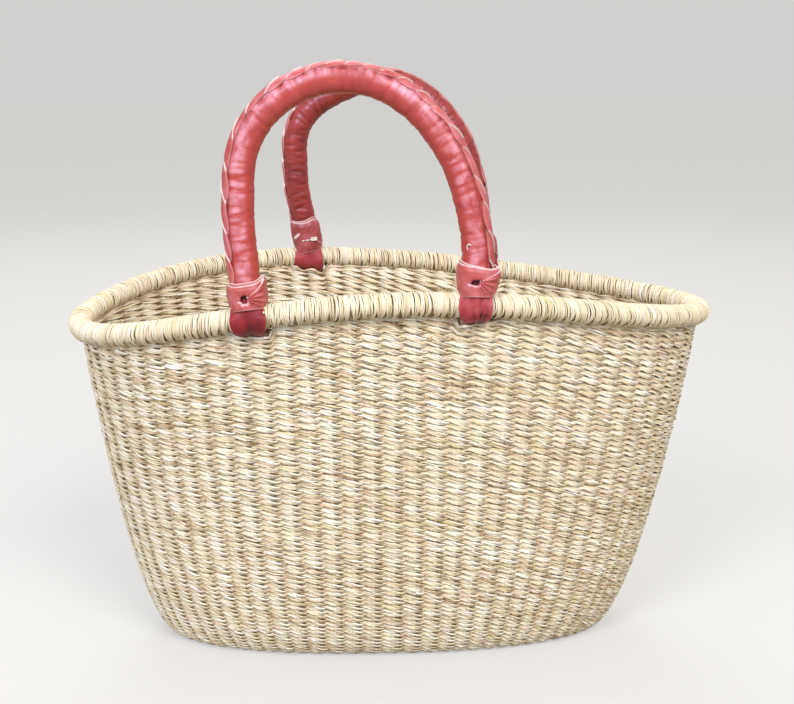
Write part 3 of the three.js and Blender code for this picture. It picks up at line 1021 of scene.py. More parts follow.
    def splice_piece(self) -> Object:
        """Makes the small tufts where one straw ends and the next one starts.

        Returns:
            The piece.
        """
        rng = np.random.default_rng(self.seed + 2)
        rows = self.course_rows()[0]
        rows = rows[rows > self.wall_start]
        bundle = StrawBundle()
        points = len(self.splice_shape)
        slide = np.linspace(-1.0, 1.0, points)[:, None]
        wide = self.splice_radius * np.array(self.splice_shape)
        for row in rng.choice(rows[:-2], self.splices):
            turn = (rng.integers(self.stakes) + 0.5 + 0.12 * rng.normal()) / self.stakes
            turns = np.full(points, turn)
            angle = self.surface.angle_at(turns + self.stake_lean(turns, row) / self.stakes)
            centre, outward, rise = self.surface.read(angle, np.full(points, row))
            course = np.cross(rise, outward)
            for _ in range(self.splice_straws):
                head = self.splice_length * rng.uniform(0.5, 1.0)
                drop = rng.normal(0.0, self.splice_drop)
                lift = self.swing + self.splice_lift - 0.5 * slide ** 2 + 0.2 * rng.random()
                line = centre + lift * outward + slide * head * (course + drop * rise)
                line = line + 0.5 * rng.normal() * rise
                along = unit(np.gradient(line, axis=0))
                side = unit(np.cross(along, outward))
                lot = (0.22 + 0.3 * rng.random(), 0.86 + 0.14 * rng.random(), 0.5)
                bundle.add(line, side, np.cross(along, side), wide, wide, lot, closed=False)
        return bundle.build("straw_splices")

    def build(self) -> list[Object]:
        """Makes the weave's pieces, from the base up.

        Returns:
            The pieces.
        """
        rng = np.random.default_rng(self.seed)
        rows, pitches = self.course_rows()
        pieces = []
        for start in range(0, len(rows), self.courses_per_piece):
            bundle = StrawBundle()
            stop = start + self.courses_per_piece
            for row, pitch in zip(rows[start:stop], pitches[start:stop]):
                self.add_course(bundle, float(row), float(pitch), rng)
            if stop >= len(rows):
                # One more course inside the roll closes the gap below it.
                self.add_course(bundle, 2.0, self.high_pitch, rng,
                                self.top_course * self.high_pitch)
            pieces.append(bundle.build(f"twined_courses_{len(pieces) + 1}"))
        pieces += [self.stake_piece(), self.splice_piece()]
        return pieces


@dataclass
class RimBinding:
    """Straw bound tightly round the rim roll, three straws to a turn."""

    rim: RimLine
    pitch: float = 2.0
    samples: int = 14
    straw_thickness: float = 0.85
    straw_half_width: float = 0.46
    width_spread: float = 0.2
    height_spread: float = 0.17
    sink: float = 0.25
    stitch_pitch: float = 4.6
    stitch_spread: float = 0.36
    gather: float = 0.6
    slant: float = 1.5
    slant_spread: float = 0.3
    bend: float = 0.28
    second_bend: float = 0.18
    tone: float = 0.62
    tone_spread: float = 0.115
    painted_under_shade: float = 0.20
    turn_share: float = 0.45
    straw_share: float = 0.85
    narrowing: float = 0.25
    cast: float = 0.50
    cast_spread: float = 0.18
    turns_per_piece: int = 250
    steps: int = 4000
    seed: int = 31

    def build(self) -> list[Object]:
        """Makes the binding.

        Returns:
            The pieces, each a stretch of the rim.
        """
        rng = np.random.default_rng(self.seed)
        fine = np.linspace(0.0, FULL_TURN, self.steps + 1)
        run = length_along(self.rim.point(fine + FIRST_ANGLE))
        turns = round(run[-1] / self.pitch)
        stitches = np.arange(0.0, run[-1], self.stitch_pitch)
        spread = rng.uniform(-self.stitch_spread, self.stitch_spread, len(stitches))
        stitches += spread * self.stitch_pitch
        pieces = []
        for start in range(0, turns, self.turns_per_piece):
            stop = min(turns, start + self.turns_per_piece)
            bundle = StrawBundle(corners=6)
            for turn in range(start, stop):
                self.add_turn(bundle, (turn + 0.5) / turns, run, fine, stitches, rng)
            pieces.append(bundle.build(f"rim_binding_{len(pieces) + 1}"))
        return pieces

    def add_turn(
        self, bundle: StrawBundle, share: float, run: Array, fine: Array, stitches: Array,
        rng: Random,
    ) -> None:
        """Adds one turn of binding, as three straws side by side.

        Args:
            bundle: what takes the straws.
            share: the turn's place, as a share of the rim's length.
            run: length along the roll at each fine angle.
            fine: turn angles at which the length is known.
            stitches: lengths along the roll at which turns are pulled through the weave.
            rng: source of seeded random numbers.
        """
        length = run[-1]
        around = np.linspace(0.0, FULL_TURN, self.samples, endpoint=False)
        below = smooth_step(-np.sin(around), 0.1, 1.0)
        shade = smooth_step(-np.sin(around), -0.2, 0.9)
        lots = rng.normal(0.0, 1.0, 3)
        for straw in (-1.0, 0.0, 1.0):
            # Below the roll the straws gather at the nearest stitch and sink in.
            at = share * length + straw * self.pitch / 3.0
            stitch = stitches[np.argmin(np.abs(stitches - at))]
            bends = rng.normal(0.0, self.bend) * np.sin(around + rng.random() * FULL_TURN)
            bends += (rng.normal(0.0, self.second_bend)
                      * np.sin(2.0 * around + rng.random() * FULL_TURN))
            place = at + self.gather * (stitch - at) * below + bends
            place = place + rng.normal(self.slant, self.slant_spread) * np.cos(around)
            angle = np.interp(np.mod(place, length), run, fine)
            centre, outward = self.rim.point(angle), self.rim.outward(angle)
            up = np.tile([0.0, 0.0, 1.0], (len(around), 1))
            along = unit(np.cross(outward, up))
            away = np.cos(around)[:, None] * outward + np.sin(around)[:, None] * up
            high = self.rim.roll_radius - 0.5 * self.straw_thickness
            high = high + rng.normal(0.0, self.height_spread) - self.sink * below
            lot = self.turn_share * lots + self.straw_share * rng.normal(0.0, 1.0, 3)
            # Painted shade darkens the turns on the roll's lower half.
            tone = self.tone + self.tone_spread * lot[0] - self.painted_under_shade * shade
            cast = np.full_like(tone, self.cast + self.cast_spread * lot[1])
            tones = np.clip(np.stack([tone, cast, np.zeros_like(tone)], -1), 0.0, 1.0)
            wide = self.straw_half_width * (1.0 + self.width_spread * rng.normal())
            wide = wide * (1.0 - self.narrowing * below)
            bundle.add(centre + high[:, None] * away, along, away, wide,
                       0.5 * self.straw_thickness, tones, closed=True)


# Handles


class Choice(enum.Enum):
    """A choice among named options, whose name stands in the names of pieces and bodies."""

    @property
    def label(self) -> str:
        """The option's name in small letters."""
        return self.name.lower()


class Side(Choice):
    """A handle. Its value is the side of the basket that it stands on, along Y."""

    FRONT = -1
    REAR = 1


class Foot(Choice):
    """A foot of a handle. Its value is its side along X."""

    LEFT = -1
    RIGHT = 1


@dataclass(frozen=True)
class LegAxes:
    """A foot's place and directions: right, away from the basket, up its leg, and the hinge's."""

    foot: Array
    right: Array
    away: Array
    up: Array
    across: Array
    square: Array

    def place(self, turn: Array, radius: Array, height: Array) -> Array:
        """Points round the leg.

        Args:
            turn: angle from the direction away from the basket towards the right.
            radius: distance from the leg's middle line.
            height: height along the leg.

        Returns:
            The points in the row frame, in millimetres.
        """
        turn, radius, height = np.broadcast_arrays(turn, radius, height)
        return (self.foot + (radius * np.sin(turn))[..., None] * self.right
                + (radius * np.cos(turn))[..., None] * self.away + height[..., None] * self.up)

    def round_rim(self, along: Array, turn: Array, radius: Array) -> Array:
        """Points round the hinge's axis.

        Args:
            along: distance to the right along the axis.
            turn: angle from the direction away from the basket, upwards.
            radius: distance from the axis.

        Returns:
            The points in the row frame, in millimetres.
        """
        along, turn, radius = np.broadcast_arrays(along, turn, radius)
        return (self.foot + along[..., None] * self.across
                + (radius * np.cos(turn))[..., None] * self.away
                + (radius * np.sin(turn))[..., None] * self.square)

    def clear_rim(self, points: Array, radius: float) -> Array:
        """Moves points that lie too near the hinge's axis straight away from it.

        Args:
            points: points in the row frame.
            radius: the least distance from the axis.

        Returns:
            The moved points.
        """
        arm = points - self.foot
        along = (arm @ self.across)[..., None] * self.across
        out = arm - along
        reach = np.linalg.norm(out, axis=-1)
        scale = np.maximum(reach, radius) / np.maximum(reach, TINY)
        return self.foot + along + out * scale[..., None]


@dataclass(frozen=True)
class CreaseSet:
    """Creases across a sleeve: distance and depth in millimetres, middle and reach in radians."""

    pitch: float
    depth: float
    facing: float
    reach: float


LONG_CREASES = CreaseSet(pitch=6.4, depth=0.22, facing=math.pi, reach=2.6)
SHORT_CREASES = CreaseSet(pitch=0.8 * 6.4, depth=0.22, facing=math.pi, reach=1.5)
# The rear handle's side towards the basket is creased more densely.
INNER_CREASES = CreaseSet(pitch=2.6, depth=0.42, facing=-0.5 * math.pi, reach=1.5)


@dataclass(frozen=True)
class HandleForm:
    """Place and outline of one handle in millimetres, its creases, painted shade and painted sheen.
    """

    side: Side
    origin: Triple
    across: Triple
    up: Triple
    outline: tuple[Pair, ...]
    inner_shade: float
    creases: tuple[CreaseSet, ...]
    bloom: float
    half_span: float = 66.37
    rise: float = 133.5
    straight_height: float = 25.0
    sleeve_radius: float = 8.55

    def rear(self) -> Array:
        """Direction square to the handle's plane, towards the rear."""
        return np.cross(self.up, self.across)

    def point(self, flat: Array, rearward: Array) -> Array:
        """Points from places in the handle's plane and distances towards the rear."""
        return (np.array(self.origin) + flat[..., :1] * np.array(self.across)
                + flat[..., 1:] * np.array(self.up) + np.asarray(rearward)[..., None] * self.rear())

    def leg(self, foot: Foot) -> LegAxes:
        """Works out how a foot stands.

        Args:
            foot: which foot.

        Returns:
            Its place and directions.
        """
        end, near = (0, 1) if foot is Foot.LEFT else (-1, -2)
        run = np.subtract(self.outline[near], self.outline[end]) * [self.half_span, self.rise]
        tilt = math.atan2(run[0], run[1])
        across, up = np.array(self.across), np.array(self.up)
        return LegAxes(
            foot=np.array(self.origin) + self.outline[end][0] * self.half_span * across,
            right=across * math.cos(tilt) - up * math.sin(tilt),
            away=self.side.value * self.rear(),
            up=up * math.cos(tilt) + across * math.sin(tilt),
            across=across, square=up,
        )


FRONT_HANDLE = HandleForm(
    side=Side.FRONT, origin=(-18.2, -95.635, 241.928), across=(0.997429, -0.044068, 0.056515),
    up=(-0.053242, 0.072208, 0.995967),
    outline=((-1, 0), (-1.015, 0.25), (-1.01, 0.52), (-0.91, 0.76), (-0.58, 0.935), (-0.12, 1),
             (0.37, 0.935), (0.763, 0.73), (0.95, 0.5), (1.018, 0.24), (1, 0)),
    inner_shade=0.08, creases=(LONG_CREASES, SHORT_CREASES), bloom=1.0,
)
REAR_HANDLE = HandleForm(
    side=Side.REAR, origin=(8.5, 96.235, 242.642), across=(0.997389, -0.017413, -0.070083),
    up=(0.068681, -0.071121, 0.995100),
    outline=((-1, 0), (-1.08, 0.2), (-1.19, 0.46), (-1.17, 0.73), (-0.87, 0.89), (-0.34, 0.99),
             (0.12, 0.93), (0.54, 0.73), (0.745, 0.5), (0.868, 0.24), (0.973, 0)),
    inner_shade=0.26, creases=(LONG_CREASES, SHORT_CREASES, INNER_CREASES), bloom=0.4,
)


def smooth_line(knots: Array, steps: int = 40) -> Array:
    """Draws a smooth line through points, evenly wherever they lie.

    Args:
        knots: the points.
        steps: the number of steps between two of them.

    Returns:
        Points of the line.
    """
    ends = [2 * knots[:1] - knots[1:2], knots, 2 * knots[-1:] - knots[-2:-1]]
    given = np.concatenate(ends)
    t = np.linspace(0.0, 1.0, steps, endpoint=False)[:, None]
    line = []
    for a, b, c, d in zip(given, given[1:], given[2:], given[3:]):
        ab, bc, cd = (math.sqrt(np.linalg.norm(q - p)) for p, q in ((a, b), (b, c), (c, d)))
        leave = ((b - a) / ab - (c - a) / (ab + bc) + (c - b) / bc) * bc
        arrive = ((c - b) / bc - (d - b) / (bc + cd) + (d - c) / cd) * bc
        line.append((2 * t ** 3 - 3 * t ** 2 + 1) * b + (t ** 3 - 2 * t ** 2 + t) * leave
                    + (3 * t ** 2 - 2 * t ** 3) * c + (t ** 3 - t ** 2) * arrive)
    return np.concatenate(line + [knots[-1:]])


class ArchLine:
    """Middle line of a handle's arch in the handle's own plane, read by length from the left."""

    def __init__(self, form: HandleForm) -> None:
        """Draws the line.

        Args:
            form: the handle's place and outline.
        """
        self.form = form
        outline = np.array(form.outline) * [form.half_span, form.rise]
        low = form.straight_height * np.array([0.5, 1.0])[:, None]
        left = outline[0] + (outline[1] - outline[0]) * low / outline[1, 1]
        right = outline[-1] + (outline[-2] - outline[-1]) * low[::-1] / outline[-2, 1]
        self.line = smooth_line(np.concatenate(
            [outline[:1], left, outline[1:-1], right, outline[-1:]]))
        self.run = length_along(self.line)
        self.along = unit(np.gradient(self.line, axis=0))

    def run_at_height(self, height: float, foot: Foot) -> float:
        """Length along the line at which a leg has reached a height.

        Args:
            height: height over the feet, in millimetres.
            foot: the foot of the leg.

        Returns:
            The length from the left end, in millimetres.
        """
        top = int(np.argmax(self.line[:, 1]))
        if foot is Foot.LEFT:
            return float(np.interp(height, self.line[:top, 1], self.run[:top]))
        return float(np.interp(height, self.line[top:, 1][::-1], self.run[top:][::-1]))

    def around(self, run: Array, turn: Array, radius: Array) -> Array:
        """Points round the line.

        Args:
            run: lengths along the line.
            turn: angle from the outside of the bend towards the rear.
            radius: distance from the line.

        Returns:
            The points in the row frame, in millimetres.
        """
        run, turn, radius = np.broadcast_arrays(run, turn, radius)
        spot = np.stack([np.interp(run, self.run, self.line[:, i]) for i in range(2)], -1)
        along = unit(np.stack([np.interp(run, self.run, self.along[:, i]) for i in range(2)], -1))
        out = np.stack([-along[..., 1], along[..., 0]], -1)
        flat = spot + (radius * np.cos(turn))[..., None] * out
        return self.form.point(flat, radius * np.sin(turn))


def leather_sheet(
    name: str, points: Array, tint: tuple[Values, Values, Values], thickness: float,
    mirrored: bool, wrapped: bool = False, hole: Array | None = None,
) -> Object:
    """Makes a piece of leather from a grid of points on its outer face.

    Args:
        name: the piece's name.
        points: rows, columns and places, in millimetres.
        tint: raw edge, tone with painted shade, and bloom with painted sheen, from 0 to 1, of the
            whole piece or of each point.
        thickness: how thick the leather is.
        mirrored: whether the columns run the other way round than outward faces need.
        wrapped: whether the last column is the first one again.
        hole: marks of the grid's cells that are cut out.

    Returns:
        The finished piece.
    """
    rows, columns = points.shape[:2]
    tones = np.stack([np.broadcast_to(part, (rows, columns)) for part in (*tint, 1.0)], axis=-1)
    if wrapped:
        points[:, -1], tones[:, -1] = points[:, 0], tones[:, 0]
    if mirrored:
        points, tones = points[:, ::-1], tones[:, ::-1]
        hole = hole[:, ::-1] if hole is not None else None
    bpy.ops.object.select_all(action="DESELECT")
    bpy.ops.mesh.primitive_grid_add(x_subdivisions=columns - 1, y_subdivisions=rows - 1)
    piece = bpy.context.object
    piece.name = piece.data.name = name
    mesh = piece.data
    mesh.vertices.foreach_set("co", (points * MM).astype(np.float32).ravel())
    attribute = mesh.color_attributes.new(TINT_ATTRIBUTE, "FLOAT_COLOR", "POINT")
    attribute.data.foreach_set("color", np.clip(tones, 0.0, 1.0).astype(np.float32).ravel())
    for part in (mesh.vertices, mesh.edges, mesh.polygons):
        part.foreach_set("select", np.zeros(len(part), bool))
    if hole is not None:
        mesh.polygons.foreach_set("select", hole.ravel())
    bpy.ops.object.mode_set(mode="EDIT")
    bpy.ops.mesh.select_mode(type="FACE")
    bpy.ops.mesh.delete(type="FACE")
    bpy.ops.mesh.select_all(action="SELECT")
    if wrapped:
        bpy.ops.mesh.remove_doubles(threshold=WELD_DISTANCE)
    bpy.ops.object.mode_set(mode="OBJECT")
    bpy.ops.object.modifier_add(type="SOLIDIFY")
    solidify = piece.modifiers[-1]
    solidify.thickness = thickness * MM
    solidify.offset = -1.0
    bpy.ops.object.modifier_apply(modifier=solidify.name)
    bpy.ops.object.shade_smooth_by_angle(angle=SHARP_ANGLE)
    return piece


def four_sums(grid: Array) -> Array:
    """Sums of each four values of a grid that are neighbours."""
    return grid[1:, 1:] + grid[:-1, 1:] + grid[1:, :-1] + grid[:-1, :-1]


def join_pieces(pieces: Sequence[Object], name: str) -> Object:
    """Joins objects into one piece.

    Args:
        pieces: the objects.
        name: the piece's name.

    Returns:
        The joined piece.
    """
    bpy.ops.object.select_all(action="DESELECT")
    for piece in pieces:
        piece.select_set(True)
    bpy.context.view_layer.objects.active = pieces[0]
    bpy.ops.object.join()
    pieces[0].name = pieces[0].data.name = name
    return pieces[0]


@dataclass
class LeatherSleeve:
    """The leather drawn round the arch, creased across, with its seam of lapped flaps."""

    arch: ArchLine
    start_height: float = 14.0
    ring_step: float = 1.05
    columns: int = 48
    thickness: float = 1.5
    rings: CreaseSet = CreaseSet(pitch=3.8, depth=0.07, facing=0.0, reach=7.0)
    reach_range: Pair = (0.6, 1.15)
    width_range: Pair = (0.65, 1.35)
    depth_range: Pair = (0.45, 1.35)
    step_range: Pair = (0.5, 1.5)
    crease_slant: float = 1.3
    crease_bow: float = 0.5
    swell: float = 0.16
    swells: float = 9.0
    ripple: float = 0.10
    ripples: float = 23.0
    tone: float = 0.56
    crease_shade: float = 0.22
    ring_shade: float = 0.4
    seam_shade: float = 0.32
    seam_shade_width: float = 0.09
    top_share: float = 0.2
    top_change: float = 0.45
    flap_pitch: float = 16.5
    flap_overlap: float = 6.5
    flap_slant: float = 5.5
    flap_middle: float = 16.0
    flap_half_turn: float = 34.0
    flap_rise: float = 2.1
    flap_seat: float = 0.35
    flap_sway: float = 3.0
    flap_curve: float = 0.06
    flap_swell: float = 0.8
    flap_ripple: float = 0.14
    flap_tone: float = 0.58
    flap_tone_spread: float = 0.06
    tucked_shade: float = 0.35
    flap_size_range: Pair = (0.88, 1.12)
    flap_thickness: float = 0.9
    seam_start: float = 5.0
    seam_end: float = 9.0
    least_flap: float = 6.0
    core_radius: float = 6.2
    core_height: float = 11.8
    core_steps: int = 90
    seed: int = 5

    def span(self) -> tuple[float, float]:
        """Lengths along the arch at which the sleeve starts and ends."""
        return (self.arch.run_at_height(self.start_height, Foot.LEFT),
                self.arch.run_at_height(self.start_height, Foot.RIGHT))

    def creases(self, run: Array, turn: Array, kind: CreaseSet, rng: Random) -> Array:
        """Depth of a set of cross creases.

        Args:
            run: length along the arch at each point.
            turn: angle round the arch at each point.
            kind: the creases' sizes.
            rng: source of seeded random numbers.

        Returns:
            Depth at each point, in millimetres.
        """
        # Each crease is a notch across the tube, which fades out to both sides.
        total = np.zeros(np.broadcast(run, turn).shape)
        at = float(run.min()) + kind.pitch * rng.random()
        while at < float(run.max()):
            middle = kind.facing + 0.5 * rng.normal()
            reach = kind.reach * rng.uniform(*self.reach_range)
            off = np.abs((turn - middle + math.pi) % FULL_TURN - math.pi)
            window = 1.0 - smooth_step(off, 0.55 * reach, reach)
            line = at + rng.normal(0.0, self.crease_slant) * np.sin(turn - middle)
            line = line + self.crease_bow * np.sin(2 * turn + 6 * rng.random())
            width = rng.uniform(*self.width_range)
            total += (kind.depth * rng.uniform(*self.depth_range) * window
                      * np.exp(-(((run - line) / width) ** 2)))
            at += kind.pitch * rng.uniform(*self.step_range)
        return total

    def tube(self) -> Object:
        """Makes the creased tube of leather.

        Returns:
            The piece.
        """
        form = self.arch.form
        rng = np.random.default_rng(self.seed + form.side.value)
        start, end = self.span()
        rows = round((end - start) / self.ring_step)
        run = np.linspace(start, end, rows)[:, None]
        turn = np.linspace(-math.pi, math.pi, self.columns + 1)[None, :]
        cut = sum(self.creases(run, turn, kind, rng) for kind in form.creases)
        rings = self.creases(run, turn, self.rings, rng)
        share = (run - start) / (end - start)
        soft = self.swell * np.sin(FULL_TURN * (self.swells * share + 0.3 * np.cos(turn)))
        soft = soft + self.ripple * np.sin(
            FULL_TURN * (self.ripples * share + 0.2 * np.sin(turn + 1.0)))
        radius = form.sleeve_radius + soft - cut - rings
        points = self.arch.around(run, turn, radius)
        facing_in = -0.5 * math.pi * form.side.value
        inner = smooth_step(np.cos(turn - facing_in), -0.2, 0.9)
        # Painted shade darkens the creases, the rings, the side towards the basket and both sides
        # of the seam.
        tone = self.tone - self.crease_shade * cut - self.ring_shade * rings
        tone = tone - form.inner_shade * inner
        for side in (-1.0, 1.0):
            beside = math.radians(self.flap_middle * form.side.value + side * self.flap_half_turn)
            off = (turn - beside) / self.seam_shade_width
            tone = tone - self.seam_shade * np.exp(-(off ** 2))
        crest = 1.0 - smooth_step(cut + 3.0 * rings, 0.05, 0.32)
        # The painted sheen faces the light, so it turns upwards over the top of the arch.
        over_top = np.exp(-(((share - 0.5) / self.top_share) ** 2))
        sheen = -facing_in * (1.0 - self.top_change * over_top)
        bloom = smooth_step(np.cos(turn - sheen), 0.76, 1.0) * crest * form.bloom
        return leather_sheet(f"{form.side.label}_sleeve", points, (0.0, tone, bloom),
                             self.thickness, mirrored=True, wrapped=True)

    def core(self) -> Object:
        """Makes the bundle of grass inside the sleeve, closed at both ends.

        Returns:
            The piece.
        """
        ends = [self.arch.run_at_height(self.core_height, foot) for foot in Foot]
        run = np.linspace(*ends, self.core_steps)
        line = self.arch.around(run, 0.0, 0.0)
        side = np.tile(self.arch.form.rear(), (len(run), 1))
        front = np.cross(unit(np.gradient(line, axis=0)), side)
        bundle = StrawBundle(corners=16)
        bundle.add(line, side, front, self.core_radius, self.core_radius, EVEN_LOT, closed=False)
        return bundle.build(f"{self.arch.form.side.label}_grass_core")

    def flap(self, name: str, at: float, size: float, rng: Random) -> Object:
        """Makes one flap of the seam, tucked under its neighbour at its lower end.

        Args:
            name: the flap's name.
            at: length along the arch at which it starts.
            size: its size against the largest flap.
            rng: source of seeded random numbers.

        Returns:
            The flap.
        """
        p = np.linspace(0.0, 1.0, 18)[:, None]
        q = np.linspace(-1.0, 1.0, 13)[None, :]
        half = math.radians(self.flap_half_turn) * (0.72 + 0.28 * size)
        narrow = 0.45 + 0.55 * np.sin(math.pi * (0.15 + 0.72 * p)) ** 0.7
        seam_turn = self.flap_middle * self.arch.form.side.value
        middle = math.radians(seam_turn + rng.normal(0.0, self.flap_sway))
        length = self.flap_pitch * size + self.flap_overlap
        run = at + p * (length + self.flap_slant * q * size)
        turn = middle + half * narrow * q + self.flap_curve * np.sin(5 * p + 6 * rng.random())
        rise = self.flap_rise * (0.35 + 0.65 * size) * rng.uniform(0.8, 1.15)
        swell = self.flap_swell * np.sin(math.pi * np.minimum(p + 0.15, 1.0)) * (1 - q * q)
        ripple = self.flap_ripple * np.sin(9 * p + 2 * q + 6 * rng.random())
        seat = self.arch.form.sleeve_radius + self.flap_seat
        radius = seat + rise * p ** 1.3 * (0.75 + 0.25 * q) + (swell + ripple) * size
        edge = smooth_step(p, 0.93, 0.975) + 0.2 * smooth_step(-q, 0.9, 0.99)
        # Painted shade darkens the end that is tucked under the next flap.
        tone = self.flap_tone + self.flap_tone_spread * rng.normal()
        tone = tone - self.tucked_shade * smooth_step(-p, -0.3, 0.0)
        # The bloom here is painted sheen, of random strength on each flap.
        bloom = 0.45 + 0.3 * rng.random()
        return leather_sheet(name, self.arch.around(run, turn, radius), (edge, tone, bloom),
                             self.flap_thickness, mirrored=True)

    def seam(self) -> Object:
        """Makes the seam: long flaps down the legs, shorter and finer ones over the top.

        Returns:
            The piece.
        """
        label = self.arch.form.side.label
        rng = np.random.default_rng(self.seed + 40 + self.arch.form.side.value)
        start, end = self.span()
        start += self.seam_start
        end -= self.seam_end
        flaps = []
        at = start
        while at < end - self.least_flap:
            share = (at - start) / (end - start)
            over_top = math.exp(-((share - 0.5) / self.top_share) ** 2)
            size = (1.0 - self.top_change * over_top) * rng.uniform(*self.flap_size_range)
            size = min(size, (end - at) / self.flap_pitch)
            flaps.append(self.flap(f"{label}_flap_{len(flaps) + 1}", at, size, rng))
            at += self.flap_pitch * size
        return join_pieces(flaps, f"{label}_seam_flaps")


@dataclass(frozen=True)
class FootForm:
    """What differs from foot to foot. Angles are in degrees round the leg, from away to right."""

    band_top: tuple[Pair, ...]
    slit_turn: float
    slit_height: float
    slit_half_width: float
    slit_half_height: float
    tail_low: float
    tail_high: float
    tail_length: float
    strap_half_width: float
    gathered_half_width: float
    pleats: tuple[Triple, ...]
    boot_shift: float = 0.0
    boot_tone: float = 0.0
    band_slim: float = 0.0
    band_flare: float = 0.0
    raw_patch: Pair | None = None
    hook: Pair | None = None
    seed: int = 1


FOOT_FORMS = {
    (Side.FRONT, Foot.LEFT): FootForm(
        band_top=((-180, 23.0), (-110, 22.0), (-75, 20.8), (-30, 20.0), (20, 20.2), (55, 22.0),
                  (90, 24.5), (130, 24.6)),
        slit_turn=-2.0, slit_height=12.3, slit_half_width=2.6, slit_half_height=2.4,
        tail_low=-50.0, tail_high=36.0, tail_length=17.5, strap_half_width=11.4,
        gathered_half_width=8.8, pleats=((0.02, 0.8, 0.22), (-0.62, 0.25, 0.2), (0.55, 0.3, 0.2)),
        seed=1,
    ),
    (Side.FRONT, Foot.RIGHT): FootForm(
        band_top=((-180, 25.0), (-110, 25.8), (-60, 25.2), (-20, 23.8), (20, 22.4), (60, 21.2),
                  (86, 21.6), (125, 24.0)),
        slit_turn=-4.0, slit_height=14.2, slit_half_width=3.3, slit_half_height=1.6,
        tail_low=-80.0, tail_high=22.0, tail_length=17.0, strap_half_width=10.6,
        gathered_half_width=7.4,
        pleats=((-0.18, 0.9, 0.10), (0.30, 1.5, 0.09), (0.66, 1.4, 0.10), (-0.7, 0.3, 0.16)),
        boot_shift=-1.4, boot_tone=0.22, band_flare=2.4, hook=(-31.5, 35.1), seed=2,
    ),
    (Side.REAR, Foot.LEFT): FootForm(
        band_top=((-180, 27.6), (-150, 28.2), (-100, 29.4), (-30, 27.0), (30, 26.0), (100, 28.6),
                  (140, 29.4)),
        slit_turn=4.0, slit_height=14.0, slit_half_width=2.8, slit_half_height=2.0,
        tail_low=-52.0, tail_high=38.0, tail_length=16.0, strap_half_width=11.4,
        gathered_half_width=10.6, pleats=((0.1, 0.5, 0.25), (-0.5, 0.4, 0.16)),
        boot_tone=0.16, band_slim=1.1, raw_patch=(-143.0, 18.4), seed=3,
    ),
    (Side.REAR, Foot.RIGHT): FootForm(
        band_top=((-180, 25.4), (-120, 24.2), (-60, 23.4), (0, 22.8), (60, 24.0), (120, 25.6)),
        slit_turn=-6.0, slit_height=13.2, slit_half_width=2.5, slit_half_height=2.2,
        tail_low=-54.0, tail_high=30.0, tail_length=16.5, strap_half_width=11.2,
        gathered_half_width=8.8, pleats=((-0.2, 0.9, 0.12), (0.45, 1.0, 0.12)),
        seed=4,
    ),
}


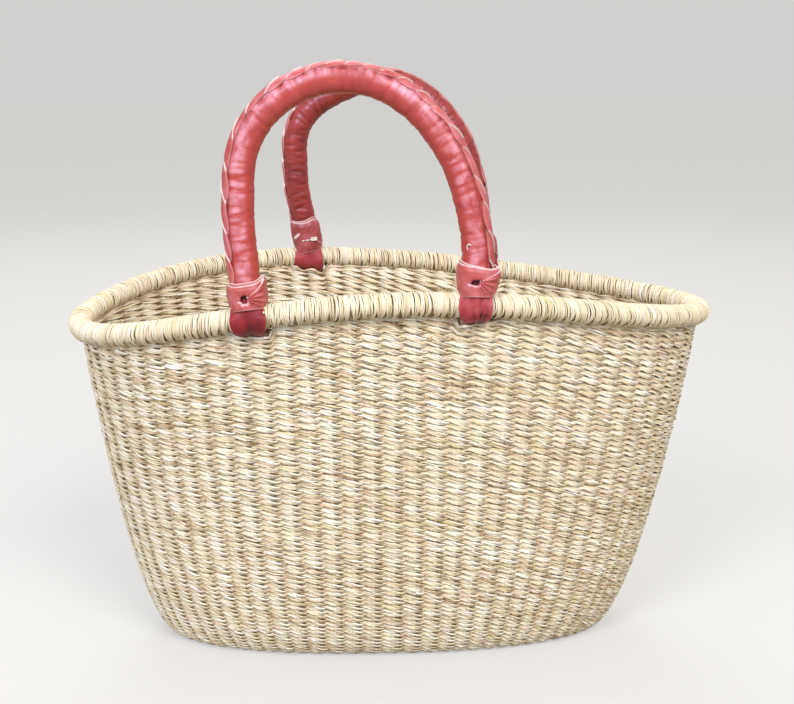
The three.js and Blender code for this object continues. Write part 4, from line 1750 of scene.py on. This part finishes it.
@dataclass
class LeatherFoot:
    """One foot of a handle: strap round the rim, band round the leg, fanned tail and thread."""

    handle: HandleForm
    foot: Foot
    leg_radius: float = 9.3
    leg_slim_share: float = 0.7
    loop_radius: float = 10.3
    loop_flare: float = 1.2
    loop_half_width: float = 11.0
    boot_height: float = 12.0
    boot_thickness: float = 1.4
    boot_half_turn: float = 88.0
    boot_gap: float = 0.9
    boot_curl: float = 1.1
    boot_swell: float = 0.18
    strap_tone: float = 0.42
    pleat_shade: float = 0.30
    rim_clearance: float = 9.4
    socket_bottom: float = 10.6
    socket_top: float = 21.0
    socket_inset: float = 0.3
    socket_thickness: float = 1.8
    socket_shade_tone: float = 0.15
    band_radius: float = 11.8
    band_thickness: float = 2.0
    band_bottom: float = 5.6
    edge_shifts: tuple[float, ...] = (-9.0, 9.0, -18.0, 18.0)
    saddle_depth: float = 2.2
    saddle_gap: float = 0.6
    band_belly: float = 0.35
    band_lip: float = 0.9
    band_inset: float = 0.15
    band_ripple: float = 0.10
    band_tone: float = 0.60
    slit_dent: float = 0.9
    slit_shade: float = 0.35
    flare_turn: float = 82.0
    flare_width: float = 0.62
    fold_depth: float = 3.0
    fold_height: float = 3.9
    fold_inset: float = 1.75
    fold_thickness: float = 0.8
    tail_thickness: float = 1.1
    tail_start: float = 0.6
    tail_room: float = 0.7
    tail_lift: float = 1.25
    tail_drop: float = 0.55
    tail_swell: float = 0.7
    tail_inset: float = 0.9
    tail_pleats: float = 4.3
    pleat_height: float = 0.5
    tail_tone: float = 0.58
    pleat_light_and_shade: float = 0.20
    thread_radius: float = 0.5
    thread_height: float = 14.8
    thread_lift: float = 0.45
    stitches: tuple[Pair, ...] = ((-168, -176), (-182, -192), (-196, -204))
    knot_turn: float = 150.0
    knot_loops: int = 9

    def __post_init__(self) -> None:
        """Looks up the foot's own form and place."""
        self.form = FOOT_FORMS[self.handle.side, self.foot]
        self.leg = self.handle.leg(self.foot)
        self.label = f"{self.handle.side.label}_{self.foot.label}"
        self.mirrored = self.handle.side is Side.REAR
        self.band_radius -= self.form.band_slim
        self.leg_radius -= self.leg_slim_share * self.form.band_slim
        self.rng = np.random.default_rng(100 + self.form.seed)

    def passage(self) -> tuple[Array, Array, float]:
        """Finds where the strap goes through the weave.

        Returns:
            A point on the hinge's axis, the axis and half the strap's width.
        """
        middle = self.leg.foot + self.form.boot_shift * self.leg.across
        half_width = max(self.form.gathered_half_width, self.form.strap_half_width - 0.4)
        return middle, self.leg.across, half_width

    def boot(self) -> Object:
        """Makes the strap that goes under the band, round the rim and up again inside.

        Returns:
            The piece.
        """
        # Along it, the strap runs down outside, half way round the roll and up again inside.
        half_round = math.pi * self.loop_radius
        length = 2 * self.boot_height + half_round
        run = np.linspace(0.0, length, 76)[:, None]
        s = np.linspace(-1.0, 1.0, 43)[None, :]
        height = np.maximum(self.boot_height - run, run - self.boot_height - half_round)
        height = np.maximum(height, 0.0)
        around = np.clip((run - self.boot_height) / self.loop_radius, 0.0, math.pi)
        inside = run > 0.5 * length
        under = np.sin(around) ** 2
        half_width = (self.form.strap_half_width * (1 - under)
                      + self.form.gathered_half_width * under)
        along = s * half_width
        reach = self.loop_radius + self.loop_flare * (along / self.loop_half_width) ** 2
        strap = self.leg.round_rim(along + self.form.boot_shift, -around, reach)
        strap = strap + height[..., None] * self.leg.square
        turn = s * math.radians(self.boot_half_turn)
        turn = np.where(inside, math.pi - turn, turn)
        tube = self.leg.place(turn, self.leg_radius + self.boot_gap, height)
        # Above the roll it closes to a tube round the leg.
        share = smooth_step(height, 0.5, 9.5)[..., None]
        points = strap * (1 - share) + tube * share
        middle = self.leg.foot + height[..., None] * self.leg.up
        outward = unit(points - middle)
        depth = np.zeros(np.broadcast(run, s).shape)
        for place, deep, width in self.form.pleats:
            drift = place * (1 - 0.25 * under) + 0.04 * np.sin(3.0 * around)
            depth += deep * np.exp(-(((s - drift) / width) ** 2))
        gather = 0.35 + 0.65 * smooth_step(np.sin(around), 0.0, 0.8)
        soft = self.boot_swell * np.sin(7.0 * s + 5.0 * self.rng.random()) * np.sin(around)
        points = points - (depth * gather - soft)[..., None] * outward
        curl = self.boot_curl * smooth_step(np.abs(s), 0.70, 1.0)
        points = points - curl[..., None] * outward
        points = self.leg.clear_rim(points, self.rim_clearance)
        edge = smooth_step(np.abs(s), 0.975, 0.998)
        # Painted shade darkens the pleats. The foot's boot tone lifts the tone and also sets the
        # strap's painted sheen.
        tone = self.strap_tone - self.pleat_shade * depth * gather
        tone = tone + 0.05 * np.sin(4 * s) * np.cos(run / 5.0) + self.form.boot_tone
        tint = (0.15 * edge, tone, 2.0 * self.form.boot_tone)
        return leather_sheet(f"{self.label}_boot", points, tint, self.boot_thickness,
                             not self.mirrored)

    def liner(self) -> Object:
        """Makes the socket inside the strap and the band; its dark tone is painted shade.

        Returns:
            The piece.
        """
        turn = np.linspace(-math.pi, math.pi, 33)[None, :]
        height = np.linspace(self.socket_bottom, self.socket_top, 9)[:, None]
        points = self.leg.place(turn, self.leg_radius - self.socket_inset, height)
        return leather_sheet(f"{self.label}_socket", points, (0.0, self.socket_shade_tone, 0.0),
                             self.socket_thickness, self.mirrored, wrapped=True)

    def band_edges(self, turn: Array) -> tuple[Array, Array]:
        """Shapes the band's edges.

        Args:
            turn: angles round the leg.

        Returns:
            Heights of the bottom edge and of the top edge.
        """
        knots = np.array(self.form.band_top)
        angles = np.concatenate([knots[:, 0], knots[:1, 0] + 360.0])
        heights = np.concatenate([knots[:, 1], knots[:1, 1]])
        fine = np.degrees(turn)
        top = np.interp(fine, angles, heights)
        # The mean over nearby angles rounds the corners of the given line.
        for shift in self.edge_shifts:
            top = top + np.interp((fine + shift + 180.0) % 360.0 - 180.0, angles, heights)
        top = top / (1 + len(self.edge_shifts)) + 0.15 * np.sin(5 * turn + self.form.seed)
        arm = self.leg.place(turn, self.band_radius, 0.0) - self.leg.foot
        along, away = arm @ self.leg.across, arm @ self.leg.away
        room = self.loop_radius - self.saddle_depth
        room = room + self.loop_flare * np.abs(along) / self.loop_half_width
        saddle = np.sqrt(np.maximum(room ** 2 - away ** 2, 0.0)) - arm @ self.leg.square
        low = self.band_bottom + 0.5 * np.sin(2 * turn + self.form.seed)
        return np.maximum(low, saddle + self.saddle_gap), top

    def flare(self, turn: Array, height: Array) -> Array:
        """How far the band stands off where the strap's end is folded under its top edge."""
        window = np.exp(-(((turn - math.radians(self.flare_turn)) / self.flare_width) ** 2))
        return self.form.band_flare * window * smooth_step(height, 6.0, 22.0)

    def band(self) -> Object:
        """Makes the band round the leg, its top edge raw and its slit torn open.

        Returns:
            The piece.
        """
        form = self.form
        turn = np.linspace(-math.pi, math.pi, 145)
        low, top = self.band_edges(turn)
        share = np.linspace(0.0, 1.0, 33)[:, None]
        height = low[None, :] + (top - low)[None, :] * share
        turn = turn[None, :]
        belly = self.band_belly * np.sin(math.pi * share)
        belly = belly - self.band_lip * smooth_step(share, 0.82, 1.0)
        radius = self.band_radius - self.band_inset + belly
        radius = radius + self.band_ripple * np.sin(3 * turn + 9 * share + form.seed)
        radius = radius + self.flare(turn, height)
        arc = self.band_radius * (turn - math.radians(form.slit_turn))
        slit = np.hypot(arc / form.slit_half_width,
                        (height - form.slit_height) / form.slit_half_height)
        slit = slit * (1.0 + 0.12 * np.sin(7 * np.arctan2(height - form.slit_height, arc)))
        radius = radius - self.slit_dent * np.exp(-((slit / 1.25) ** 4))
        # Cells inside the slit are cut out, and the corners on its edge move onto the oval.
        cut = four_sums(slit) < 4.0
        beside = four_sums(np.pad(cut, 1).astype(int))
        onto = np.where((beside > 0) & (beside < 4), 1.0 / np.maximum(slit, 0.3), 1.0)
        turn = math.radians(form.slit_turn) + arc * onto / self.band_radius
        height = form.slit_height + (height - form.slit_height) * onto
        raw = smooth_step(share, 0.955, 0.985) + 0.35 * smooth_step(-share, -0.03, 0.0)
        below = (slit < 1.55) & (height < form.slit_height - 0.4 * form.slit_half_height)
        raw = np.maximum(raw, 0.4 * below)
        if form.raw_patch is not None:
            far = self.band_radius * (turn - math.radians(form.raw_patch[0]))
            lift = height - form.raw_patch[1] + 0.55 * far
            raw = np.maximum(raw, 1.0 - smooth_step(np.hypot(far / 3.4, lift / 1.3), 0.7, 1.2))
        # Painted shade darkens the band round the slit, and on the rear handle its side towards the
        # basket. The bloom channel here is painted sheen.
        tone = self.band_tone - self.slit_shade * smooth_step(-slit, -1.5, -1.0)
        tone = tone + 0.05 * np.sin(2 * turn + 4 * share)
        inner = smooth_step(-np.cos(turn), 0.0, 0.8) * (0.25 if self.mirrored else 0.0)
        bloom = 0.35 + 0.3 * np.sin(3 * turn + 5 * share + form.seed)
        outer = leather_sheet(f"{self.label}_band_outside", self.leg.place(turn, radius, height),
                              (raw, tone - inner, bloom), self.band_thickness, self.mirrored,
                              wrapped=True, hole=cut)
        turn = turn[:1]
        fold = np.linspace(0.0, 1.0, 7)[:, None]
        height = top[None, :] - self.fold_depth
        height = height + fold * (self.fold_height + 0.7 * np.sin(turn + 2 * form.seed))
        radius = self.band_radius - self.fold_inset - 0.25 * fold + self.flare(turn, height)
        inside = leather_sheet(f"{self.label}_band_inside", self.leg.place(turn, radius, height),
                               (smooth_step(fold, 0.8, 0.95), 0.5, 0.3), self.fold_thickness,
                               self.mirrored, wrapped=True)
        return join_pieces([outer, inside], f"{self.label}_strap_band")

    def tail(self) -> Object:
        """Makes the strap's end, drawn out of the slit and fanned round the band in pleats.

        Returns:
            The piece.
        """
        form = self.form
        u = np.linspace(0.0, 1.0, 30)[:, None]
        v = np.linspace(0.0, 1.0, 57)[None, :]
        fan = np.radians(form.tail_low + (form.tail_high - form.tail_low) * v)
        # The tail's lower part is shorter, so that it ends above the band's bottom edge.
        room = form.slit_height - self.band_bottom - self.tail_room
        longest = np.minimum(form.tail_length, room / np.maximum(-np.sin(fan), 0.2))
        longest = np.where(fan < 0, longest, form.tail_length)
        reach = self.tail_start + u * (longest - self.tail_start)
        across = 0.5 * form.slit_half_width + reach * np.cos(fan)
        rise = reach * np.sin(fan)
        turn = math.radians(form.slit_turn) + across / (self.band_radius + self.tail_start)
        height = form.slit_height + 0.3 + rise
        low, top = self.band_edges(turn)
        height = np.clip(height, low + 0.15, top + 0.2)
        pleat = np.sin(FULL_TURN * self.tail_pleats * v + 0.9 * np.sin(3.0 * u) + form.seed)
        strength = smooth_step(u, 0.02, 0.2) * (1.0 - 0.95 * smooth_step(u, 0.45, 1.0))
        lift = (self.tail_lift * smooth_step(reach, 0.4, 3.2)
                - self.tail_drop * smooth_step(u, 0.75, 1.0))
        swell = self.tail_swell * np.sin(math.pi * u) * np.sin(math.pi * v)
        radius = self.band_radius - self.tail_inset + lift + swell
        radius = radius + self.pleat_height * pleat * strength
        radius = radius + 0.35 * smooth_step(v, 0.9, 1.0) + self.flare(turn, height)
        raw = np.maximum(smooth_step(v, 0.975, 0.995), smooth_step(u, 0.97, 0.995))
        # Painted light and shade follow the pleats: lighter crests, darker folds, and pale raw
        # colour as painted highlight on the highest crests. Painted shade darkens the tail where it
        # leaves the slit, and the bloom channel is painted sheen.
        raw = np.maximum(raw, 0.10 * smooth_step(pleat * strength, 0.8, 1.0))
        tone = self.tail_tone + self.pleat_light_and_shade * pleat * strength
        tone = tone - 0.2 * smooth_step(-u, -0.12, 0.0)
        bloom = 0.3 + 0.5 * smooth_step(-v, -0.4, 0.0)
        return leather_sheet(f"{self.label}_strap_tail", self.leg.place(turn, radius, height),
                             (raw, tone, bloom), self.tail_thickness, not self.mirrored)

    def thread(self) -> Object:
        """Makes the cotton thread: a few stitches and a knot inside, and a stray end.

        Returns:
            The piece.
        """
        bundle = StrawBundle(corners=6)
        radius = self.band_radius + self.thread_lift
        for start, stop in self.stitches:
            self.strand(bundle, np.radians(np.linspace(start, stop, 8)),
                        radius + 0.35 * np.sin(np.linspace(0, math.pi, 8)),
                        self.thread_height + np.linspace(0.0, 0.3, 8), self.thread_radius)
        knot = math.radians(self.knot_turn)
        at = np.linspace(0.0, 2.6 * math.pi, 22)
        for _ in range(self.knot_loops):
            spin = self.rng.random() * FULL_TURN
            self.strand(
                bundle, knot + 0.19 * np.sin(at + spin) * self.rng.uniform(0.5, 1.0),
                radius + 0.9 + 0.8 * np.cos(at * 1.3 + spin),
                self.thread_height + 0.4 + 1.1 * np.sin(at * 0.7 + 2 * spin),
                0.65 * self.thread_radius,
            )
        end = np.linspace(0.0, 1.0, 12)
        self.strand(bundle, np.radians(self.knot_turn - 2.0 - 34.0 * end),
                    radius + 0.6 + 1.6 * end ** 2, self.thread_height + 0.2 - 5.2 * end,
                    0.3 * self.thread_radius)
        if self.form.hook is not None:
            at = np.linspace(0.0, 1.25 * math.pi, 14)
            turn = math.radians(self.form.hook[0]) + 0.13 * np.cos(at)
            self.strand(bundle, turn, self.handle.sleeve_radius + 0.3 + 0.9 * np.sin(at),
                        self.form.hook[1] + 1.6 * np.sin(at) - 0.5 * at, 0.7 * self.thread_radius)
        return bundle.build(f"{self.label}_thread")

    def strand(
        self, bundle: StrawBundle, turn: Array, radius: Array, height: Array, thickness: float,
    ) -> None:
        """Adds one open strand of thread, which thins out at its end.

        Args:
            bundle: what takes the strand.
            turn: angles round the leg.
            radius: distances from the leg's middle line.
            height: heights along the leg.
            thickness: the strand's radius.
        """
        line = self.leg.place(turn, radius, height)
        along = unit(np.gradient(line, axis=0))
        side = unit(np.cross(along, self.leg.place(turn, 1.0, 0.0) - self.leg.foot))
        wide = np.full(len(line), thickness)
        wide[-1] *= 0.5
        bundle.add(line, side, np.cross(along, side), wide, wide, EVEN_LOT, closed=False)


# Studio


@dataclass(frozen=True)
class Lamp:
    """A square soft lamp: its place and side in metres, its power and its sRGB hex colour."""

    name: str
    place: Triple
    size: float
    watts: float
    tint: str


@dataclass(frozen=True)
class Studio:
    """Camera, floor and soft lights."""

    camera_place: Triple = (-18.59, -736.92, 364.54)
    pitch: float = -0.2249
    yaw: float = 0.031
    roll: float = -0.0045
    focal_pixels: float = 1118.25
    image_width: float = 794.0
    sensor: float = 36.0
    floor_half: float = 60.0
    sky_level: float = 0.65
    backdrop_level: float = 0.712
    backdrop: str = "f2f1ef"
    aim: Triple = (0.0, 0.0, 0.2)
    lamps: tuple[Lamp, ...] = (
        Lamp("key_lamp", (0.9, -1.8, 1.9), size=1.2, watts=45.0, tint="fffcf8"),
        Lamp("sky_lamp", (-1.3, -1.9, 1.7), size=1.0, watts=45.0, tint="eef2ff"),
        Lamp("back_lamp", (-0.3, 1.6, 2.0), size=1.6, watts=16.0, tint="ffffff"),
    )

    def add_camera(self) -> None:
        """Places the camera that the object was photographed with."""
        forward = Vector((math.sin(self.yaw) * math.cos(self.pitch),
                          math.cos(self.yaw) * math.cos(self.pitch), math.sin(self.pitch)))
        right = Vector((math.cos(self.yaw), -math.sin(self.yaw), 0.0))
        up = right.cross(forward)
        turned = right * math.cos(self.roll) + up * math.sin(self.roll)
        upright = up * math.cos(self.roll) - right * math.sin(self.roll)
        data = bpy.data.cameras.new("camera")
        data.sensor_width = self.sensor
        data.lens = self.focal_pixels * self.sensor / self.image_width
        camera = bpy.data.objects.new("camera", data)
        matrix = Matrix((turned, upright, -forward)).transposed().to_4x4()
        matrix.translation = Vector(self.camera_place) * MM
        camera.matrix_world = matrix
        bpy.context.scene.collection.objects.link(camera)
        bpy.context.scene.camera = camera

    def add_floor(self) -> None:
        """Lays the floor that the basket stands on."""
        bpy.ops.object.select_all(action="DESELECT")
        bpy.ops.mesh.primitive_plane_add(size=2.0 * self.floor_half)
        floor = bpy.context.object
        floor.name = "floor"
        floor.data.materials.append(FloorFinish().material())

    def add_lamp(self, lamp: Lamp) -> None:
        """Hangs a lamp so that it faces the basket.

        Args:
            lamp: the lamp.
        """
        data = bpy.data.lights.new(lamp.name, "AREA")
        data.energy = lamp.watts
        data.color = linear_colour(lamp.tint)[:3]
        data.size = lamp.size
        light = bpy.data.objects.new(lamp.name, data)
        light.location = lamp.place
        aim = Vector(self.aim) - Vector(lamp.place)
        light.rotation_euler = aim.to_track_quat("-Z", "Y").to_euler()
        bpy.context.scene.collection.objects.link(light)

    def add_lights(self) -> None:
        """Lights the scene softly from above and the front."""
        for lamp in self.lamps:
            self.add_lamp(lamp)
        world = bpy.data.worlds.new("studio")
        bpy.context.scene.world = world
        world.use_nodes = True
        tree = world.node_tree
        path = add_node(tree, "ShaderNodeLightPath")
        level = add_node(tree, "ShaderNodeMapRange", {
            "Value": path.outputs["Is Camera Ray"], "To Min": self.sky_level,
            "To Max": self.backdrop_level,
        })
        set_inputs(tree, tree.nodes["Background"], {
            "Color": linear_colour(self.backdrop), "Strength": level.outputs["Result"],
        })

    def build(self) -> None:
        """Sets up the whole studio."""
        self.add_camera()
        self.add_floor()
        self.add_lights()
        bpy.context.scene.view_settings.view_transform = "Standard"


# Assembly


def finish_piece(
    piece: Object, material: Material, body: str, nodes: Sequence[str] = (),
) -> None:
    """Gives a piece its material, body and slot, and hides what it stands for.

    Args:
        Gives a piece its material and body, and hides what it stands for.
        material: its material.
        body: the body that it moves with.
        nodes: CAD nodes that it replaces.
    """
    piece.data.materials.clear()
    piece.data.materials.append(material)
    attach(piece, body)
    if nodes:
        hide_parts(*nodes)
    log.info("%s: %d faces on %s", piece.name, len(piece.data.polygons), body)


def cover_node(name: str, material: Material) -> None:
    """Gives a CAD node that stays in the model its material.

    Args:
        name: the node.
        material: its material.
    """
    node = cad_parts[name]
    node.data.materials.clear()
    node.data.materials.append(material)


def add_handle(
    form: HandleForm, leathers: Sequence[Material], thread: Material, grass: Material,
) -> None:
    """Builds one handle with its two feet.

    Args:
        form: the handle's place and outline.
        leathers: materials of the sleeve, the seam, the straps round the rim and the bands.
        thread: the thread's material.
        grass: the grass bundle's material.
    """
    side, body = form.side.label, f"{form.side.label}_handle"
    sleeve, seam, strap, band = leathers
    cover = LeatherSleeve(ArchLine(form))
    finish_piece(cover.tube(), sleeve, body, [f"{side}_handle_sleeve"])
    finish_piece(cover.seam(), seam, body, [f"{side}_handle_seam"])
    finish_piece(cover.core(), grass, body, [f"{side}_handle_core"])
    for end in Foot:
        foot = LeatherFoot(form, end)
        for make, material, slot, node in (
            (foot.boot, strap, "loop_leather", "loop"),
            (foot.liner, strap, "loop_leather", "loop"),
            (foot.band, band, "band_leather", "band"),
            (foot.tail, band, "band_leather", "tail"),
            (foot.thread, thread, "cotton_thread", "tie"),
        ):
            finish_piece(make(), material, body, [f"{foot.label}_{node}"])


def main() -> None:
    """Builds the basket and its studio."""
    logging.basicConfig(level=logging.INFO, format="%(message)s")
    Studio().build()
    surface = WovenSurface(WovenForm())
    straw = StrawFinish().material()
    binding = StrawFinish(name="dried_grass_straw_bound").material()
    handles = (FRONT_HANDLE, REAR_HANDLE)
    passages = [LeatherFoot(handle, foot).passage() for handle in handles for foot in Foot]
    weave = TwinedWeave(surface, passages=passages)
    for piece in weave.build():
        finish_piece(piece, straw, "basket", ["woven_body"])
    for piece in RimBinding(surface.form.rim).build():
        finish_piece(piece, binding, "basket", ["rim_wrap"])
    grass = GRASS_BUNDLE.material()
    leathers = [f.material() for f in (SLEEVE_LEATHER, SEAM_LEATHER, BOOT_LEATHER, BAND_LEATHER)]
    thread = COTTON_THREAD.material()
    cover_node("rim_core", grass)
    for handle in handles:
        add_handle(handle, leathers, thread, grass)


if __name__ == "__main__":
    main()
